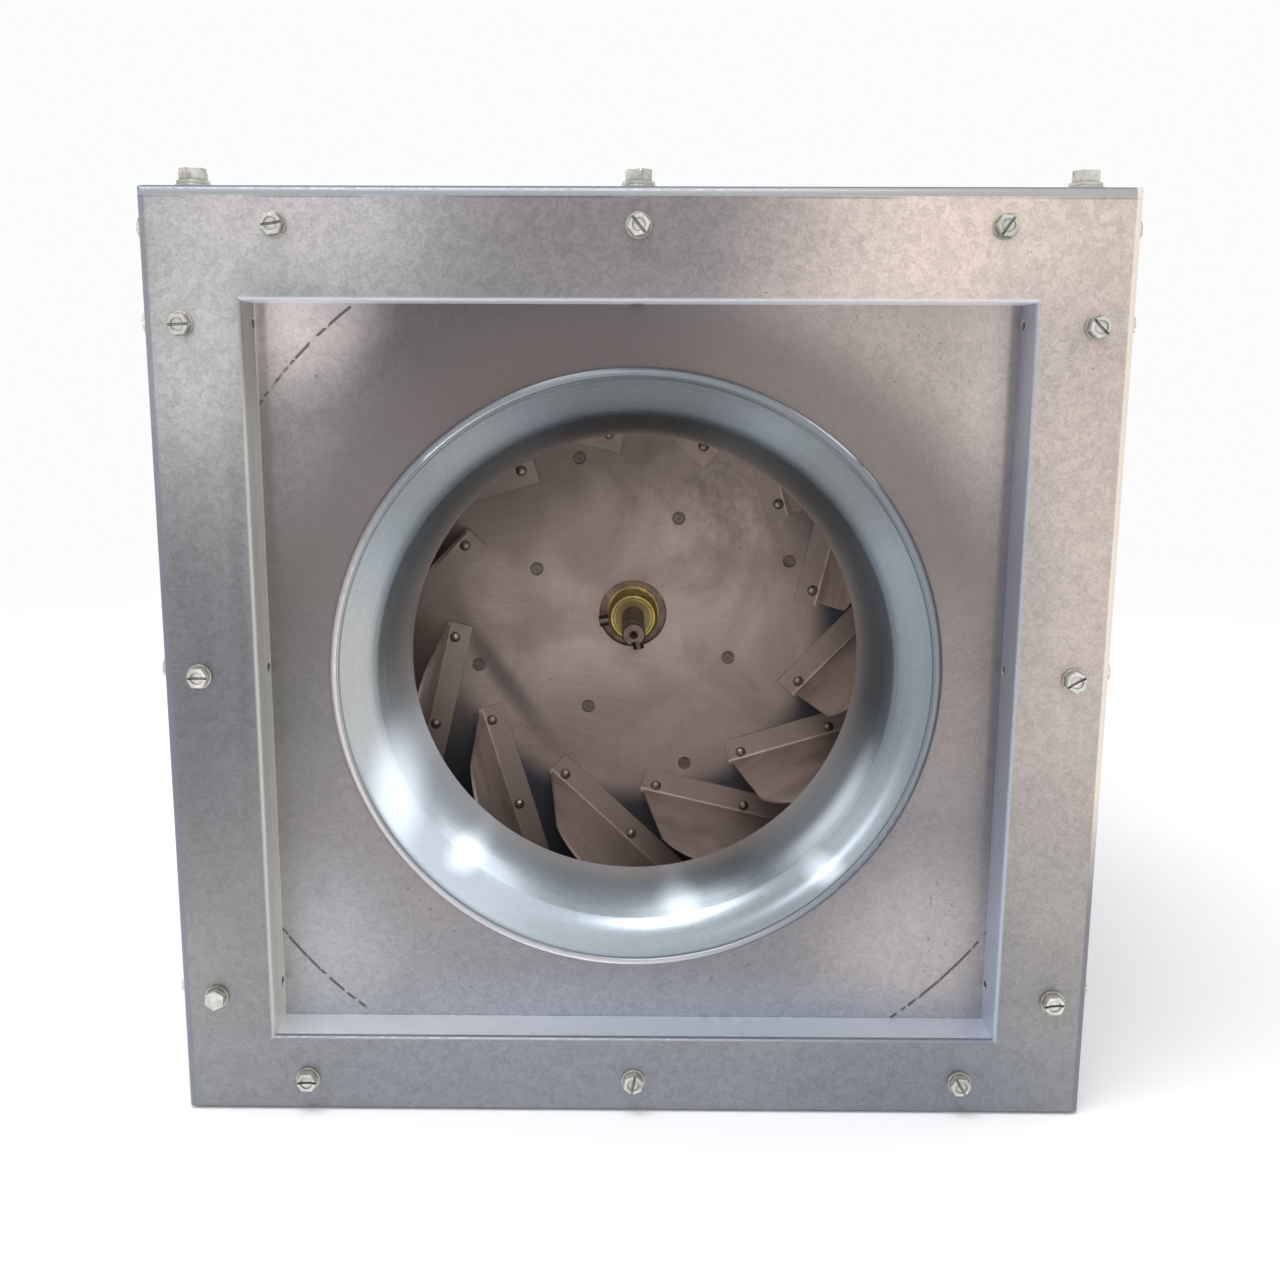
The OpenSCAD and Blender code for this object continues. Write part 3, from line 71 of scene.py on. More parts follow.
class Tree:
    """A material's node tree, with short calls for the nodes that the recipes use."""

    def __init__(self, name):
        self.mat = bpy.data.materials.new(name)
        self.mat.use_nodes = True
        self.nt = self.mat.node_tree
        self.bsdf = self.nt.nodes["Principled BSDF"]
        self.obj = self.add("TexCoord").outputs["Object"]

    def add(self, kind, inputs=None, **props):
        """A new node with its properties and inputs set; an input may be a value or a socket."""
        n = self.nt.nodes.new("ShaderNode" + kind)
        for k, v in props.items():
            setattr(n, k, v)
        for k, v in (inputs or {}).items():
            self.put(n.inputs[k], v)
        return n

    def put(self, socket, value):
        """Links a socket to an input, or sets the input to a plain value."""
        if isinstance(value, bpy.types.NodeSocket):
            self.nt.links.new(value, socket)
        else:
            socket.default_value = value

    def xyz(self, vec=None):
        """x, y and z of a vector, or of the place on the piece."""
        return self.add("SeparateXYZ", {0: vec or self.obj}).outputs

    def facing(self):
        """The surface's direction, as x, y and z."""
        return self.xyz(self.add("NewGeometry").outputs["Normal"])

    def radius(self, vec=None):
        """Distance from the impeller's axis."""
        x, _, z = self.xyz(vec)
        dx = self.math("SUBTRACT", x, axis.x)
        dz = self.math("SUBTRACT", z, axis.z)
        return self.math("SQRT", self.total(self.product(dx, dx), self.product(dz, dz)))

    def product(self, *values):
        """All the values multiplied."""
        out = values[0]
        for v in values[1:]:
            out = self.math("MULTIPLY", out, v)
        return out

    def total(self, *values):
        """All the values added."""
        out = values[0]
        for v in values[1:]:
            out = self.math("ADD", out, v)
        return out

    def inverse(self, value):
        """1 where a mask is 0, and 0 where it's 1."""
        return self.math("SUBTRACT", 1.0, value)

    def gap(self, a, b):
        """How far a and b are apart."""
        return self.math("ABSOLUTE", self.math("SUBTRACT", a, b))

    def math(self, op, a, b=0.0):
        """One sum or comparison of a and b; ABSOLUTE and SQRT take a alone."""
        return self.add("Math", {0: a, 1: b}, operation=op).outputs[0]

    def scaled(self, scale, turn=(0, 0, 0)):
        """The place on the piece, scaled and turned, for stretched textures."""
        made = self.add("Mapping", {"Vector": self.obj, "Scale": scale, "Rotation": turn})
        return made.outputs[0]

    def noise(self, scale, detail=3.0, rough=0.5, vec=None, distortion=0.0):
        """Cloudy noise, mostly between 0.3 and 0.7."""
        return self.add("TexNoise", {"Vector": vec or self.obj, "Scale": scale, "Detail": detail,
                                     "Roughness": rough, "Distortion": distortion}).outputs[0]

    def cells(self, scale, vec=None):
        """Cells with a value of their own each, like zinc crystals."""
        v = self.add("TexVoronoi", {"Vector": vec or self.obj, "Scale": scale})
        return self.add("SeparateColor", {0: v.outputs["Color"]}).outputs[0]

    def span(self, value, lo, hi, out_lo=0.0, out_hi=1.0):
        """value from lo..hi, as out_lo..out_hi, smoothly and clamped."""
        return self.add("MapRange", {"Value": value, "From Min": lo, "From Max": hi,
                                     "To Min": out_lo, "To Max": out_hi},
                        interpolation_type="SMOOTHSTEP").outputs[0]

    def mix(self, fac, a, b, blend="MIX"):
        """Colour a at fac 0 and b at fac 1."""
        m = self.add("Mix", data_type="RGBA", blend_type=blend)
        self.put(m.inputs[0], fac)
        self.put(m.inputs[6], a)
        self.put(m.inputs[7], b)
        return m.outputs[2]

    def spot(self, at, reach, strength, wobble=0.0, vec=None):
        """A mask around the place at (x, z) that fades out over reach (x, z)."""
        x, _, z = self.xyz(vec)
        dx = self.math("DIVIDE", self.math("SUBTRACT", x, at[0]), reach[0])
        dz = self.math("DIVIDE", self.math("SUBTRACT", z, at[1]), reach[1])
        d = self.math("SQRT", self.total(self.product(dx, dx), self.product(dz, dz)))
        return self.span(self.total(d, wobble), 0.15, 1.15, strength, 0.0)

    def patch(self, col, tone, at, reach, strength, wobble=0.0, vec=None):
        """col turned towards tone around the place at (x, z), fading out over reach (x, z)."""
        return self.mix(self.spot(at, reach, strength, wobble, vec), col, tone)

    def glow(self, color, strength):
        """Painted light: a pale glow (emission) standing in for light the surface would pick up from around
        it.
        """
        self.put(self.bsdf.inputs["Emission Color"], color)
        self.put(self.bsdf.inputs["Emission Strength"], strength)

    def scratches(self, length, density, turns):
        """A mask of fine straight scratches in a few directions."""
        total = None
        for i, turn in enumerate(turns):
            vec = self.scaled((1 / length, 60 / length, 60 / length), (0.3 * i, turn, 0.2))
            line = self.span(self.noise(1.0, 1.0, 0.4, vec), density, density + 0.04)
            gate = self.span(self.noise(14 + 5 * i), 0.52, 0.60)
            line = self.product(line, gate)
            total = line if total is None else self.math("MAXIMUM", total, line)
        return total

    def tinted(self, col, shade):
        """col times the number shade."""
        grey = self.add("CombineColor", {0: shade, 1: shade, 2: shade}).outputs[0]
        return self.mix(1.0, col, grey, "MULTIPLY")

    def finish(self, color, rough, metallic, height=None, bump=0.1, reach=0.2, edge=0.0):
        """Joins everything to the shader. Rounded edges (edge) and bumps (reach) are in mm."""
        self.put(self.bsdf.inputs["Base Color"], color)
        self.put(self.bsdf.inputs["Roughness"], rough)
        self.put(self.bsdf.inputs["Metallic"], metallic)
        normal = None
        if edge:
            normal = self.add("Bevel", {"Radius": edge * MM}, samples=4).outputs[0]
        if height is not None:
            b = self.add("Bump", {"Strength": bump, "Distance": reach * MM, "Height": height})
            if normal:
                self.put(b.inputs["Normal"], normal)
            normal = b.outputs[0]
        if normal:
            self.put(self.bsdf.inputs["Normal"], normal)
        return self.mat


sheet_tone = (172, 171, 173)
dark_spot = (70, 66, 66)


def galvanised(name, base, patches=(), spangle=330, contrast=0.12, rough=0.42, metallic=0.75,
               wear=0.05, edge=0.5, speckle=0.45, bump=0.10, trim=None):
    """Zinc-coated sheet: fine spangle, cloudy tone, small dark specks and light scratches. Given patches
    are painted light and shade on faces turned to the front; other faces keep the plain sheet tone.
    """
    t = Tree(name)
    wobble = t.product(t.math("SUBTRACT", t.noise(9, 4, 0.6), 0.5), 0.9)
    cloud = t.span(t.noise(5, 3), 0.3, 0.7)
    col = t.mix(cloud, linear(base), linear([v * 0.88 for v in base]))
    # Painted light and shade: soft patches of tone where the sheet catches the light or lies in shade.
    for tone, at, reach, strength in patches:
        col = t.patch(col, linear(tone), at, reach, strength, wobble)
    if patches:
        plain = t.mix(cloud, linear(sheet_tone), linear([v * 0.88 for v in sheet_tone]))
        col = t.mix(t.span(t.facing()[1], -0.3, 0.1, 1.0, 0.0), plain, col)
    drift = t.add("TexNoise", {"Vector": t.obj, "Scale": 120.0}).outputs["Color"]
    drift = t.add("VectorMath", {0: drift, "Scale": 0.006}, operation="SCALE").outputs[0]
    warped = t.add("VectorMath", {0: t.obj, 1: drift}, operation="ADD").outputs[0]
    cell = t.cells(spangle, warped)
    small = t.cells(spangle * 3.1, warped)
    grain = t.noise(900, 3, 0.7)
    mottle = t.total(t.product(cell, 0.25), t.product(small, 0.3), t.product(grain, 0.45))
    col = t.tinted(col, t.span(mottle, 0.15, 0.85, 1 - contrast, 1 + contrast * 0.8))
    specks = t.product(t.span(t.noise(420, 2, 0.6), 0.66, 0.72),
                       t.span(t.noise(30, 2), 0.45, 0.65))
    col = t.mix(t.product(specks, speckle), col, linear(dark_spot))
    smudge = t.span(t.noise(26, 5, 0.65, t.scaled((1, 1, 0.6))), 0.60, 0.74)
    col = t.mix(t.product(smudge, 0.4 * speckle), col, linear((92, 88, 90)))
    lines = t.scratches(0.05, 0.70, (0.2, 1.3, 2.4))
    col = t.mix(t.product(lines, wear), col, linear((205, 205, 208)))
    if trim:
        col = trim(t, col)
    roughness = t.total(t.span(mottle, 0.2, 0.8, rough - contrast / 2, rough + contrast / 2),
                        t.product(smudge, 0.10))
    height = t.total(t.product(grain, 0.5), t.product(t.noise(14, 2), 3.0),
                     t.product(lines, -0.6))
    return t.finish(col, roughness, metallic, height, bump, 0.25, edge)


def lip_light_and_shade(t, col, place, facing):
    """Painted light and shade on the opening's lips: blue-grey on the right, cream on the left, pale below
    and above, as the light falls on each. Returns the colour and the strength of the painted glow on the
    lips."""
    x, y, z = place
    nx, _, nz = facing
    opening = t.span(t.math("ABSOLUTE", x), opening_half, opening_half + 0.0015, 1.0, 0.0)
    low = t.span(z, mid - 0.02, mid + 0.02, 1.0, 0.0)
    flat = t.span(y, front + fold - 0.0005, front + fold + 0.0005)
    up = t.span(nz, 0.3, 0.9)
    down = t.span(nz, -0.9, -0.3, 1.0, 0.0)
    right = t.product(opening, t.span(nx, -0.9, -0.3, 1.0, 0.0))
    left = t.product(opening, t.span(nx, 0.3, 0.9))

    blue = t.mix(t.span(z, 0.05, 0.20, 1.0, 0.0), linear((176, 181, 196)), linear((200, 208, 226)))
    col = t.mix(right, col, blue)
    jamb = t.mix(t.span(y, front + 0.009, front + 0.013), linear((214, 212, 204)),
                 linear((228, 225, 211)))
    jamb = t.mix(t.span(z, 0.29, 0.345), jamb, linear((146, 144, 136)))
    col = t.mix(left, col, jamb)
    inner_end = t.span(y, front + lip_end, front + lip_end + 0.0007)
    col = t.mix(t.product(left, inner_end, 0.8), col, linear((244, 242, 232)))
    sill = t.mix(t.span(x, -0.12, 0.06), linear((246, 250, 254)), linear((222, 228, 240)))
    col = t.mix(t.product(up, low, flat), col, sill)
    col = t.mix(t.product(up, low, t.inverse(flat)), col, linear((126, 129, 137)))
    # Painted highlight on the underside of the top lip.
    top_lip = t.product(down, t.inverse(low), opening)
    col = t.mix(top_lip, col, linear((224, 227, 236)))
    return col, t.total(t.product(left, 0.06), t.product(top_lip, 0.20))


def bend_light_and_shade(t, col, place):
    """Painted light and shade on the bends round the front face: a band, a dark crease line and a dark
    crest on top, and the two sides. Returns the colour and the strength of the painted glow on the top
    band."""
    x, y, z = place
    bend = t.span(y, front + fold - 0.0005, front + fold + 0.0005, 1.0, 0.0)
    band = t.product(t.span(z, top_z - seam, top_z - seam + 0.0006), bend)
    edge = t.mix(t.span(x, -0.06, 0.10), linear((120, 126, 132)), linear((156, 154, 156)))
    col = t.mix(band, col, edge)
    crease = t.span(t.gap(z, top_z - seam - 0.0003), 0.0002, 0.0006, 1.0, 0.0)
    crease = t.product(crease, t.span(t.noise(22, 3), 0.42, 0.58), bend, 0.4)
    col = t.mix(crease, col, linear((86, 84, 96)))
    crest = t.product(t.span(z, top_z - 0.0008, top_z - 0.0003), bend)
    col = t.mix(crest, col, linear((96, 100, 112)))
    left = t.product(t.span(x, case_lo[0] + 0.0038, case_lo[0] + 0.0028), bend, 0.6)
    col = t.mix(left, col, linear((122, 126, 140)))
    right = t.product(t.span(x, case_hi[0] - 0.0034, case_hi[0] - 0.0026), bend, 0.7)
    right_tone = t.mix(t.span(z, 0.09, 0.16), linear((112, 117, 128)), linear((250, 238, 224)))
    col = t.mix(right, col, right_tone)
    under = t.product(band, t.span(z, top_z - 0.0010, top_z - 0.0028))
    return col, t.product(under, t.span(x, -0.06, 0.10, 0.26, 0.13))


def frame_light_and_shade(t, col):
    """Painted light and shade on the front frame's folded lips and bends, with a painted glow on them."""
    place = t.xyz()
    col, lip_light = lip_light_and_shade(t, col, place, t.facing())
    col, bend_light = bend_light_and_shade(t, col, place)
    t.glow(linear((216, 217, 219)), t.total(lip_light, bend_light))
    return col


def plate_shade_and_ring(t, col):
    """Painted shade beside the cone, a ring scratched round it and painted shade in bands by the lips."""
    x, _, z = t.xyz()
    r = t.radius()
    beside = t.product(t.span(r, shade_r, shade_full_r), t.span(z, axis.z - 0.02, axis.z + 0.06), 0.75)
    col = t.mix(beside, col, linear((112, 103, 101)))
    line = t.span(t.gap(r, ring_r), 0.0003, 0.0009, 1.0, 0.0)
    dashes = t.span(t.noise(260, 2, 0.5), 0.38, 0.47)
    broken = t.span(t.noise(38, 4, 0.7), 0.32, 0.42)
    plain_corner = t.span(t.total(x, t.math("SUBTRACT", z, axis.z)), 0.10, 0.14, 1.0, 0.0)
    col = t.mix(t.product(line, dashes, broken, plain_corner, 0.8), col, linear((58, 50, 48)))
    # Painted shade in bands on the plate beside the lips.
    right = t.product(t.span(x, plate_edge - 0.003, plate_edge), t.span(z, 0.06, 0.16))
    col = t.mix(t.product(right, 0.6), col, linear((100, 102, 110)))
    left = t.product(t.span(x, -plate_edge, 0.003 - plate_edge, 1.0, 0.0), t.span(z, 0.20, 0.28))
    return t.mix(t.product(left, 0.4), col, linear((96, 94, 92)))


def cone_rings_and_light(t, col):
    """Fine rings from the spinning; painted light on the rim, paler to the lower left; painted shade in the
    crease where the roll starts; a painted glow and painted glints along the lower half.
    """
    r = t.radius()
    rings = t.noise(1.0, 2.0, 0.7, t.add("CombineXYZ", {0: t.product(r, 900.0)}).outputs[0])
    col = t.tinted(col, t.span(rings, 0.3, 0.7, 0.95, 1.05))
    x, _, z = t.xyz()
    lower_left = t.math("SUBTRACT", t.math("SUBTRACT", axis.x, x), t.math("SUBTRACT", z, axis.z))
    # Painted light on the rim: paler to the lower left, darker to the upper right.
    rim = t.mix(t.span(lower_left, 0.00, 0.14), linear((134, 137, 142)), linear((204, 198, 198)))
    col = t.mix(t.product(t.span(r, rim_r, rim_r + 0.0018), 0.9), col, rim)
    # Painted shade in the crease where the rolled rim starts.
    crease_shade = t.span(t.gap(r, rim_r - 0.0004), 0.0002, 0.0008, 1.0, 0.0)
    col = t.mix(t.product(crease_shade, 0.4), col, linear((84, 84, 88)))
    light = t.product(t.span(r, rim_r, rim_r - 0.003), t.span(r, bell_r - 0.010, bell_r + 0.003, 0.45, 1.0))
    spots = [t.spot((axis.x + at[0], axis.z + at[1]), reach, strength)
             for at, reach, strength in cone_light]
    # A painted highlight in a band round the narrow part of the bell, lower right.
    glint_streak = t.span(t.gap(r, bell_r), 0.0003, 0.0040, 1.0, 0.0)
    glint_streak = t.product(glint_streak, t.spot((axis.x + 0.088, axis.z - 0.064), (0.036, 0.040), 0.45))
    t.glow(linear((226, 236, 246)), t.total(t.product(t.total(*spots), light), glint_streak))
    return col


def worn_aluminium(name, base, dark, metallic, stain=0.55, edge=0.35, shadow=0.9,
                   dents_and_painted_shade=0.0, flange=None):
    """Weathered aluminium sheet: cloudy stains, dust and scratches; painted shade under the throat; faces
    turned to the front toned darker as painted shade where given; and, where dents are given, dents with a
    painted shadow line and painted shade patches.
    """
    t = Tree(name)
    cloud = t.noise(16, 5, 0.62, distortion=0.6)
    col = t.mix(t.span(cloud, 0.35, 0.68), linear(base), linear(dark))
    warm = t.span(t.noise(34, 4, 0.6), 0.5, 0.72)
    col = t.mix(t.product(warm, stain * 0.5), col,
                linear([base[0] * 0.9, base[1] * 0.80, base[2] * 0.72]))
    spots = t.product(t.span(t.noise(230, 3, 0.7), 0.60, 0.70),
                      t.span(t.noise(24, 3), 0.40, 0.62))
    col = t.mix(t.product(spots, stain), col, linear([v * 0.55 for v in dark]))
    dust = t.span(t.noise(700, 3, 0.8), 0.55, 0.75)
    col = t.mix(t.product(dust, 0.16), col, linear((190, 184, 176)))
    lines = t.scratches(0.03, 0.64, (0.5, 1.9))
    col = t.mix(t.product(lines, 0.25), col, linear((186, 180, 172)))
    # Painted shade: faces turned to the front take the darker given tone.
    if flange:
        flat_on = t.span(t.math("ABSOLUTE", t.facing()[1]), 0.90, 0.98)
        col = t.mix(t.product(flat_on, 0.85), col, linear(flange))
    place = t.add("NewGeometry").outputs["Position"]
    px, _, pz = t.xyz(place)
    # Painted shade under the throat, placed in the world.
    if shadow:
        shade = t.span(t.radius(place), bell_r - 0.018, bell_r)
        slant = t.math("SUBTRACT", pz, t.product(px, 0.5))
        low = t.span(slant, axis.z - 0.05, axis.z + 0.06, 1.0, 0.0)
        col = t.mix(t.product(shade, low, shadow), col, linear((50, 57, 72)))
    if dents_and_painted_shade:
        # A painted shadow line across the backplate and painted shade patches on its upper part, then
        # dents.
        across = t.total(t.product(t.math("SUBTRACT", px, shadow_streak_at[0]), 0.811),
                         t.product(t.math("SUBTRACT", pz, shadow_streak_at[1]), 0.584))
        streak = t.span(t.math("ABSOLUTE", across), 0.001, 0.009, 1.0, 0.0)
        streak = t.product(streak, t.spot(shadow_streak_at, (0.05, 0.06), 0.7, vec=place))
        col = t.mix(streak, col, linear((84, 74, 72)))
        col = t.patch(col, linear((120, 105, 98)), (0.0, axis.z + 0.085), (0.09, 0.04), 0.6,
                      vec=place)
        col = t.patch(col, linear((122, 107, 99)), (-0.045, axis.z + 0.055), (0.05, 0.05), 0.7,
                      vec=place)
        dent = t.span(t.noise(210, 2, 0.6), 0.35, 0.68, 1 - dents_and_painted_shade, 1 + dents_and_painted_shade)
        col = t.mix(t.spot((0.055, axis.z + 0.07), (0.055, 0.05), 1.0, vec=place), col,
                    t.tinted(col, dent))
    roughness = t.span(cloud, 0.3, 0.7, 0.42, 0.62)
    height = t.total(t.noise(600, 3, 0.7), t.product(t.noise(30, 3), 2.0))
    return t.finish(col, roughness, metallic, height, 0.10, 0.2, edge)


def plated(name, base, rough, metallic=1.0, grime=(70, 66, 60), amount=0.5, crevices=0.0):
    """Plated or bare small parts: slight tone changes, grime in patches, and painted shade in crevices."""
    t = Tree(name)
    tone = t.noise(110, 3, 0.6)
    col = t.mix(t.span(tone, 0.3, 0.7), linear(base), linear([v * 0.82 for v in base]))
    dirt = t.span(t.noise(260, 4, 0.7), 0.52, 0.70)
    col = t.mix(t.product(dirt, amount), col, linear(grime))
    if crevices:
        # Painted shade: darker where the surface is hemmed in by nearby parts.
        open_to_light = t.add("AmbientOcclusion", {"Distance": 2 * MM}, samples=6).outputs["AO"]
        col = t.mix(t.span(open_to_light, 0.45, 0.95, crevices, 0.0), col, linear((44, 42, 40)))
    roughness = t.span(tone, 0.3, 0.7, rough - 0.07, rough + 0.12)
    return t.finish(col, roughness, metallic, t.noise(1500, 3, 0.7), 0.12, 0.1, 0.25)


def pressed_rivets(name):
    """Rivet heads: faces turned to the front paler, sloping sides darker as painted shade."""
    t = Tree(name)
    face = t.span(t.math("ABSOLUTE", t.facing()[1]), 0.90, 0.99)
    col = t.mix(face, linear((70, 60, 57)), linear((114, 100, 93)))
    dirt = t.span(t.noise(400, 3, 0.7), 0.5, 0.7)
    col = t.mix(t.product(dirt, 0.4), col, linear((60, 52, 50)))
    return t.finish(col, 0.5, 0.7, t.noise(1500, 3, 0.7), 0.12, 0.1)


def hub_finish(name):
    """A yellow-plated boss, darker in its middle with a dark turned line, on a flange toned dark as painted
    shade.
    """
    t = Tree(name)
    tone = t.noise(110, 3, 0.6)
    r = t.radius()
    boss = t.mix(t.span(tone, 0.3, 0.7), linear((190, 170, 100)), linear((156, 137, 84)))
    boss = t.mix(t.span(r, turned_r - 0.0014, turned_r - 0.0002, 0.75, 0.0), boss, linear((84, 72, 54)))
    ring = t.span(t.gap(r, turned_r), 0.0002, 0.0006, 0.8, 0.0)
    boss = t.mix(ring, boss, linear((74, 66, 40)))
    # Painted shade: the flange lies back behind the backplate.
    flange = t.mix(t.span(tone, 0.3, 0.7), linear((124, 108, 94)), linear((96, 83, 74)))
    col = t.mix(t.span(r, boss_r, boss_r + 0.0006), boss, flange)
    dirt = t.span(t.noise(260, 4, 0.7), 0.52, 0.70)
    col = t.mix(t.product(dirt, 0.5), col, linear((74, 62, 40)))
    return t.finish(col, t.span(tone, 0.3, 0.7, 0.35, 0.5), 0.85, t.noise(1500, 3, 0.7), 0.12,
                    0.1, 0.25)


def enamel(name, base, rough, speckle=0.1):
    """Paint or moulded plastic with a fine orange-peel surface, dust and rubbed places."""
    t = Tree(name)
    col = t.mix(t.span(t.noise(12, 3), 0.3, 0.7), linear(base), linear([v * 0.86 for v in base]))
    dust = t.product(t.span(t.noise(500, 4, 0.7), 0.52, 0.72), t.span(t.noise(20), 0.4, 0.6))
    col = t.mix(t.product(dust, speckle * 2), col, linear((170, 165, 158)))
    roughness = t.span(t.noise(45, 3), 0.3, 0.7, rough - 0.06, rough + 0.10)
    return t.finish(col, roughness, 0.0, t.noise(420, 3, 0.6), 0.15, 0.15, 0.4)


def copper_wire(name):
    """Enamelled winding wire: fine parallel strands under varnish."""
    t = Tree(name)
    strands = t.add("TexWave", {"Vector": t.obj, "Scale": 420.0, "Distortion": 1.5,
                                "Detail": 1.0}, bands_direction="DIAGONAL").outputs["Fac"]
    col = t.mix(strands, linear((112, 50, 26)), linear((196, 110, 64)))
    return t.finish(col, t.span(strands, 0, 1, 0.42, 0.28), 0.7, strands, 0.5, 0.25)


def laminations(name):
    """Stacked electrical sheet: fine lines across the axis, under brown-grey varnish."""
    t = Tree(name)
    lines = t.add("TexWave", {"Vector": t.obj, "Scale": 300.0, "Distortion": 0.1},
                  bands_direction="Y").outputs["Fac"]
    col = t.mix(lines, linear((66, 64, 66)), linear((104, 100, 98)))
    col = t.mix(t.span(t.noise(60, 4), 0.5, 0.75, 0, 0.4), col, linear((96, 62, 42)))
    return t.finish(col, 0.5, 0.7, lines, 0.3, 0.15)


# Painted light and shade on the front frame, and a small dark dot at its top-left corner. Each patch is a
# tone, its middle, its reach and its strength.
front_patches = [
    ((222, 205, 195), (0.125, mid + 0.185), (0.18, 0.06), 1.0),
    ((202, 188, 178), (0.19, mid + 0.06), (0.06, 0.22), 0.9),
    ((196, 192, 193), (-0.15, mid + 0.19), (0.11, 0.05), 0.9),
    ((128, 124, 126), (-0.005, mid + 0.185), (0.10, 0.06), 0.9),
    ((172, 171, 172), (-0.19, mid + 0.11), (0.05, 0.07), 0.8),
    ((194, 191, 190), (-0.178, mid + 0.145), (0.035, 0.06), 0.9),
    ((111, 112, 115), (-0.185, mid - 0.01), (0.05, 0.12), 0.9),
    ((138, 141, 149), (-0.02, mid - 0.185), (0.24, 0.04), 0.9),
    ((124, 128, 136), (0.13, mid - 0.19), (0.08, 0.04), 0.8),
    ((134, 130, 132), (0.02, mid + 0.185), (0.03, 0.05), 0.6),
    ((104, 104, 108), (-0.166, mid + 0.01), (0.007, 0.11), 0.5),
    ((70, 64, 72), (-0.1985, mid + 0.1985), (0.003, 0.003), 0.9),
]
# Painted light and shade on the inlet plate: a bright upper-left corner, shade across the top and on the
# left, paler to the right.
plate_patches = [
    ((100, 93, 95), (-0.04, axis.z + 0.14), (0.12, 0.07), 1.0),
    ((226, 214, 212), (-0.157, axis.z + 0.158), (0.047, 0.052), 1.0),
    ((186, 172, 164), (0.12, axis.z + 0.14), (0.11, 0.10), 0.9),
    ((176, 164, 160), (0.15, axis.z + 0.05), (0.06, 0.12), 0.8),
    ((214, 200, 192), (0.155, axis.z + 0.14), (0.03, 0.06), 0.7),
    ((140, 130, 126), (0.15, axis.z - 0.01), (0.04, 0.05), 0.7),
    ((112, 111, 109), (-0.155, axis.z + 0.01), (0.05, 0.10), 0.9),
    ((138, 139, 147), (0.0, axis.z - 0.15), (0.13, 0.05), 0.8),
    ((186, 180, 178), (0.13, axis.z - 0.13), (0.06, 0.06), 0.7),
    ((172, 172, 176), (-0.14, axis.z - 0.13), (0.05, 0.07), 0.9),
    ((156, 160, 169), (0.0, axis.z - 0.162), (0.22, 0.025), 0.8),
]

# Places from the axis, reaches and strengths of the light along the cone's lower half.
cone_light = [
    ((-0.085, -0.070), (0.055, 0.085), 0.40),
    ((-0.015, -0.110), (0.08, 0.026), 0.18),
    ((0.084, -0.064), (0.05, 0.05), 0.17),
    ((-0.106, -0.052), (0.014, 0.034), 0.6),
    ((-0.076, -0.084), (0.011, 0.009), 0.65),
    ((0.022, -0.109), (0.013, 0.007), 0.6),
    ((0.086, -0.088), (0.012, 0.009), 0.55),
]
# Painted reflections on the cone: dark across the top and upper sides, pale on the left.
cone_patches = [
    ((92, 95, 98), (axis.x, axis.z + 0.118), (0.085, 0.035), 0.9),
    ((124, 128, 126), (axis.x - 0.085, axis.z + 0.085), (0.05, 0.05), 0.7),
    ((108, 113, 114), (axis.x + 0.085, axis.z + 0.085), (0.05, 0.05), 0.8),
    ((120, 127, 134), (axis.x + 0.118, axis.z - 0.01), (0.035, 0.09), 0.8),
    ((186, 184, 176), (axis.x - 0.122, axis.z), (0.03, 0.08), 0.6),
]
recipes = {
    "casing_zinc": galvanised("galvanised_sheet", sheet_tone, contrast=0.16, metallic=0.7),
    "cone_zinc": galvanised("spun_galvanised", (150, 160, 168), cone_patches, spangle=380,
                            contrast=0.05, rough=0.30, metallic=0.85, wear=0.08, edge=0.3,
                            speckle=0.05, bump=0.03, trim=cone_rings_and_light),
    "screw_zinc": plated("pale_zinc", (222, 220, 212), 0.34, 0.8, (104, 98, 88), 0.40,
                         crevices=0.7),
    "wheel_aluminium": worn_aluminium("weathered_aluminium", (190, 171, 162), (154, 139, 132),
                                      metallic=0.55, shadow=0.0,
                                      flange=(152, 136, 128)),
    "hub_zinc": plated("yellow_zinc", (170, 150, 84), 0.40, 0.85, (84, 70, 44), 0.5),
    "dark_steel": plated("dark_steel", (92, 84, 80), 0.38, 0.9, (48, 42, 40), 0.5),
    "motor_paint": enamel("grey_enamel", (112, 116, 118), 0.42),
    "lamination": laminations("varnished_laminations"),
    "copper": copper_wire("enamelled_copper"),
    "rubber": enamel("black_rubber", (34, 34, 36), 0.7, 0.25),
    "capacitor_can": plated("satin_aluminium", (186, 186, 180), 0.38, 0.9, (120, 118, 112), 0.3),
    "box_grey": enamel("pale_grey_enamel", (168, 171, 172), 0.45),
    "terminal_plastic": enamel("white_plastic", (208, 206, 196), 0.45),
    "black_plastic": enamel("black_plastic", (30, 30, 32), 0.45, 0.2),
    "cage_steel": plated("pressed_steel", (150, 144, 128), 0.35),
}
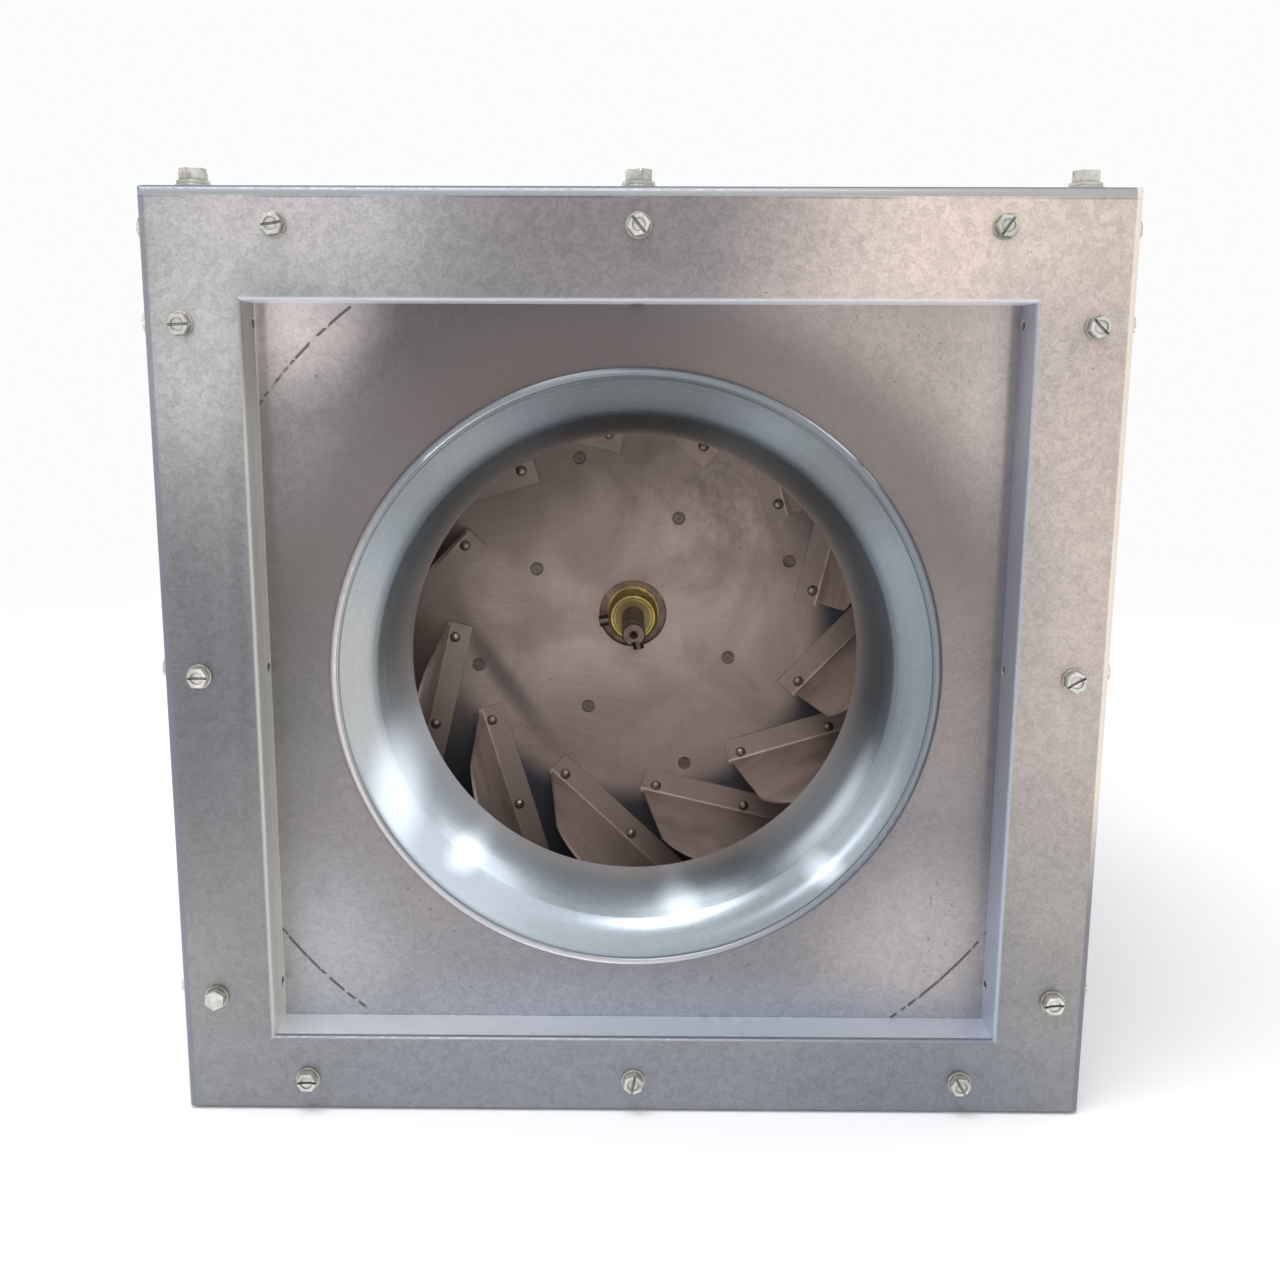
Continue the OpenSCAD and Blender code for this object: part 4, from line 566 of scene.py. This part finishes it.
special = {
    "inlet_frame": galvanised("front_frame_zinc", (150, 150, 151), front_patches,
                              contrast=0.17, trim=frame_light_and_shade),
    "inlet_plate": galvanised("inlet_plate_zinc", (152, 148, 150), plate_patches,
                              contrast=0.16, trim=plate_shade_and_ring),
    "blade_rivets": plated("dull_rivets", (150, 134, 124), 0.36, 0.8, (70, 60, 56), 0.5),
    "hub_rivets": pressed_rivets("pressed_rivets"),
    "shaft": plated("worn_shaft_steel", (116, 98, 88), 0.5, 0.8, (56, 46, 42), 0.5),
    "impeller_backplate": worn_aluminium("stained_aluminium", (168, 151, 142), (148, 131, 123),
                                         metallic=0.6, stain=0.3, dents_and_painted_shade=0.12, edge=0.2),
    # The stiffening disc is toned dark: painted shade where it shows through the backplate's holes, with
    # grime.
    "stiffening_disc": plated("shaded_grimy_disc", (146, 126, 118), 0.55, 0.6, (70, 60, 56), 0.5),
    "impeller_shroud": worn_aluminium("shroud_aluminium", (118, 114, 116), (92, 88, 90),
                                      metallic=0.6),
    "impeller_hub": hub_finish("hub_yellow_zinc"),
}
for name, obj in nodes.items():
    mat = special.get(name) or recipes[slot_of[name]]
    obj.data.materials.clear()
    obj.data.materials.append(mat)


surround = (0.97, 0.97, 0.98, 1.0)


def paper(name, color, rough):
    """Plain pale paper that runs into the surround far from the fan, with no horizon."""
    t = Tree(name)
    col = t.mix(t.span(t.noise(3, 2), 0.3, 0.7), linear(color), linear([v * 0.992 for v in color]))
    x, y, _ = t.xyz(t.add("NewGeometry").outputs["Position"])
    far = t.math("SQRT", t.total(t.product(x, x), t.product(y, y)))
    far = t.span(far, 0.4, 2.2)
    col = t.mix(far, col, (0, 0, 0, 1))
    t.glow(surround, far)
    t.put(t.bsdf.inputs["Specular IOR Level"], 0.0)
    return t.finish(col, rough, 0.0)


bpy.ops.mesh.primitive_plane_add(size=60, location=(0, 20.0, case_lo[2] - 0.0005))
floor = bpy.context.object
floor.name = "studio_floor"
floor.data.materials.append(paper("pale_floor", (251, 251, 252), 0.9))

world = bpy.data.worlds.new("studio")
scene.world = world
world.use_nodes = True
world.node_tree.nodes["Background"].inputs[0].default_value = surround
world.node_tree.nodes["Background"].inputs[1].default_value = 1.0


def softbox(name, at, aim, size, power):
    """A rectangular lamp at one place, aimed at another."""
    data = bpy.data.lights.new(name, "AREA")
    data.shape = "RECTANGLE"
    data.size, data.size_y = size
    data.energy = power
    lamp = bpy.data.objects.new(name, data)
    scene.collection.objects.link(lamp)
    lamp.location = at
    lamp.rotation_euler = (Vector(aim) - Vector(at)).to_track_quat("-Z", "Y").to_euler()
    return lamp


def only_on(lamp, names):
    """The lamp lights these nodes alone."""
    group = bpy.data.collections.new(lamp.name + "_lit")
    for n in names:
        group.objects.link(nodes[n])
    lamp.light_linking.receiver_collection = group


softbox("key", (-0.25, -0.55, 1.45), (0, -0.2, 0.2), (0.9, 0.6), 10)

# Three small softboxes make the highlights along the lower half of the spun cone.
for label, at, size, power in (
        ("glint_left", (1.00, 0.09, 1.12), (0.25, 0.25), 5),
        ("glint_middle", (-0.39, 0.0, 1.52), (0.22, 0.22), 5),
        ("glint_right", (-0.55, -1.5, 0.40), (0.25, 0.25), 2)):
    lamp = softbox(label, at, (axis.x, cone_lo[1], axis.z - 0.1), size, power)
    lamp.data.use_shadow = False
    only_on(lamp, ["inlet_cone"])

wheel = ["impeller_backplate", "impeller_blades", "impeller_shroud", "blade_rivets", "hub_rivets",
         "impeller_hub", "shaft", "set_screws", "shaft_key", "stiffening_disc"]
only_on(softbox("wheel_light", (0.05, -1.30, 0.75), (0, 0, axis.z), (0.5, 0.35), 4.7), wheel)

cam_data = bpy.data.cameras.new("camera")
cam = bpy.data.objects.new("camera", cam_data)
scene.collection.objects.link(cam)
cam_data.sensor_width = 36.0
cam_data.lens = 38.33
cam_data.shift_x = 0.0208
cam_data.shift_y = -0.0155
cam_data.clip_end = 50
turn = Matrix.Identity(3)
for degrees, around in ((0.393, "Z"), (-10.755, "X"), (-0.197, "Y")):
    turn = turn @ Matrix.Rotation(math.radians(degrees), 3, around)
look = Matrix((turn.col[0], turn.col[2], -turn.col[1])).transposed()
cam.matrix_world = Matrix.Translation(camera_place) @ look.to_4x4()
scene.camera = cam
scene.view_settings.view_transform = "Standard"
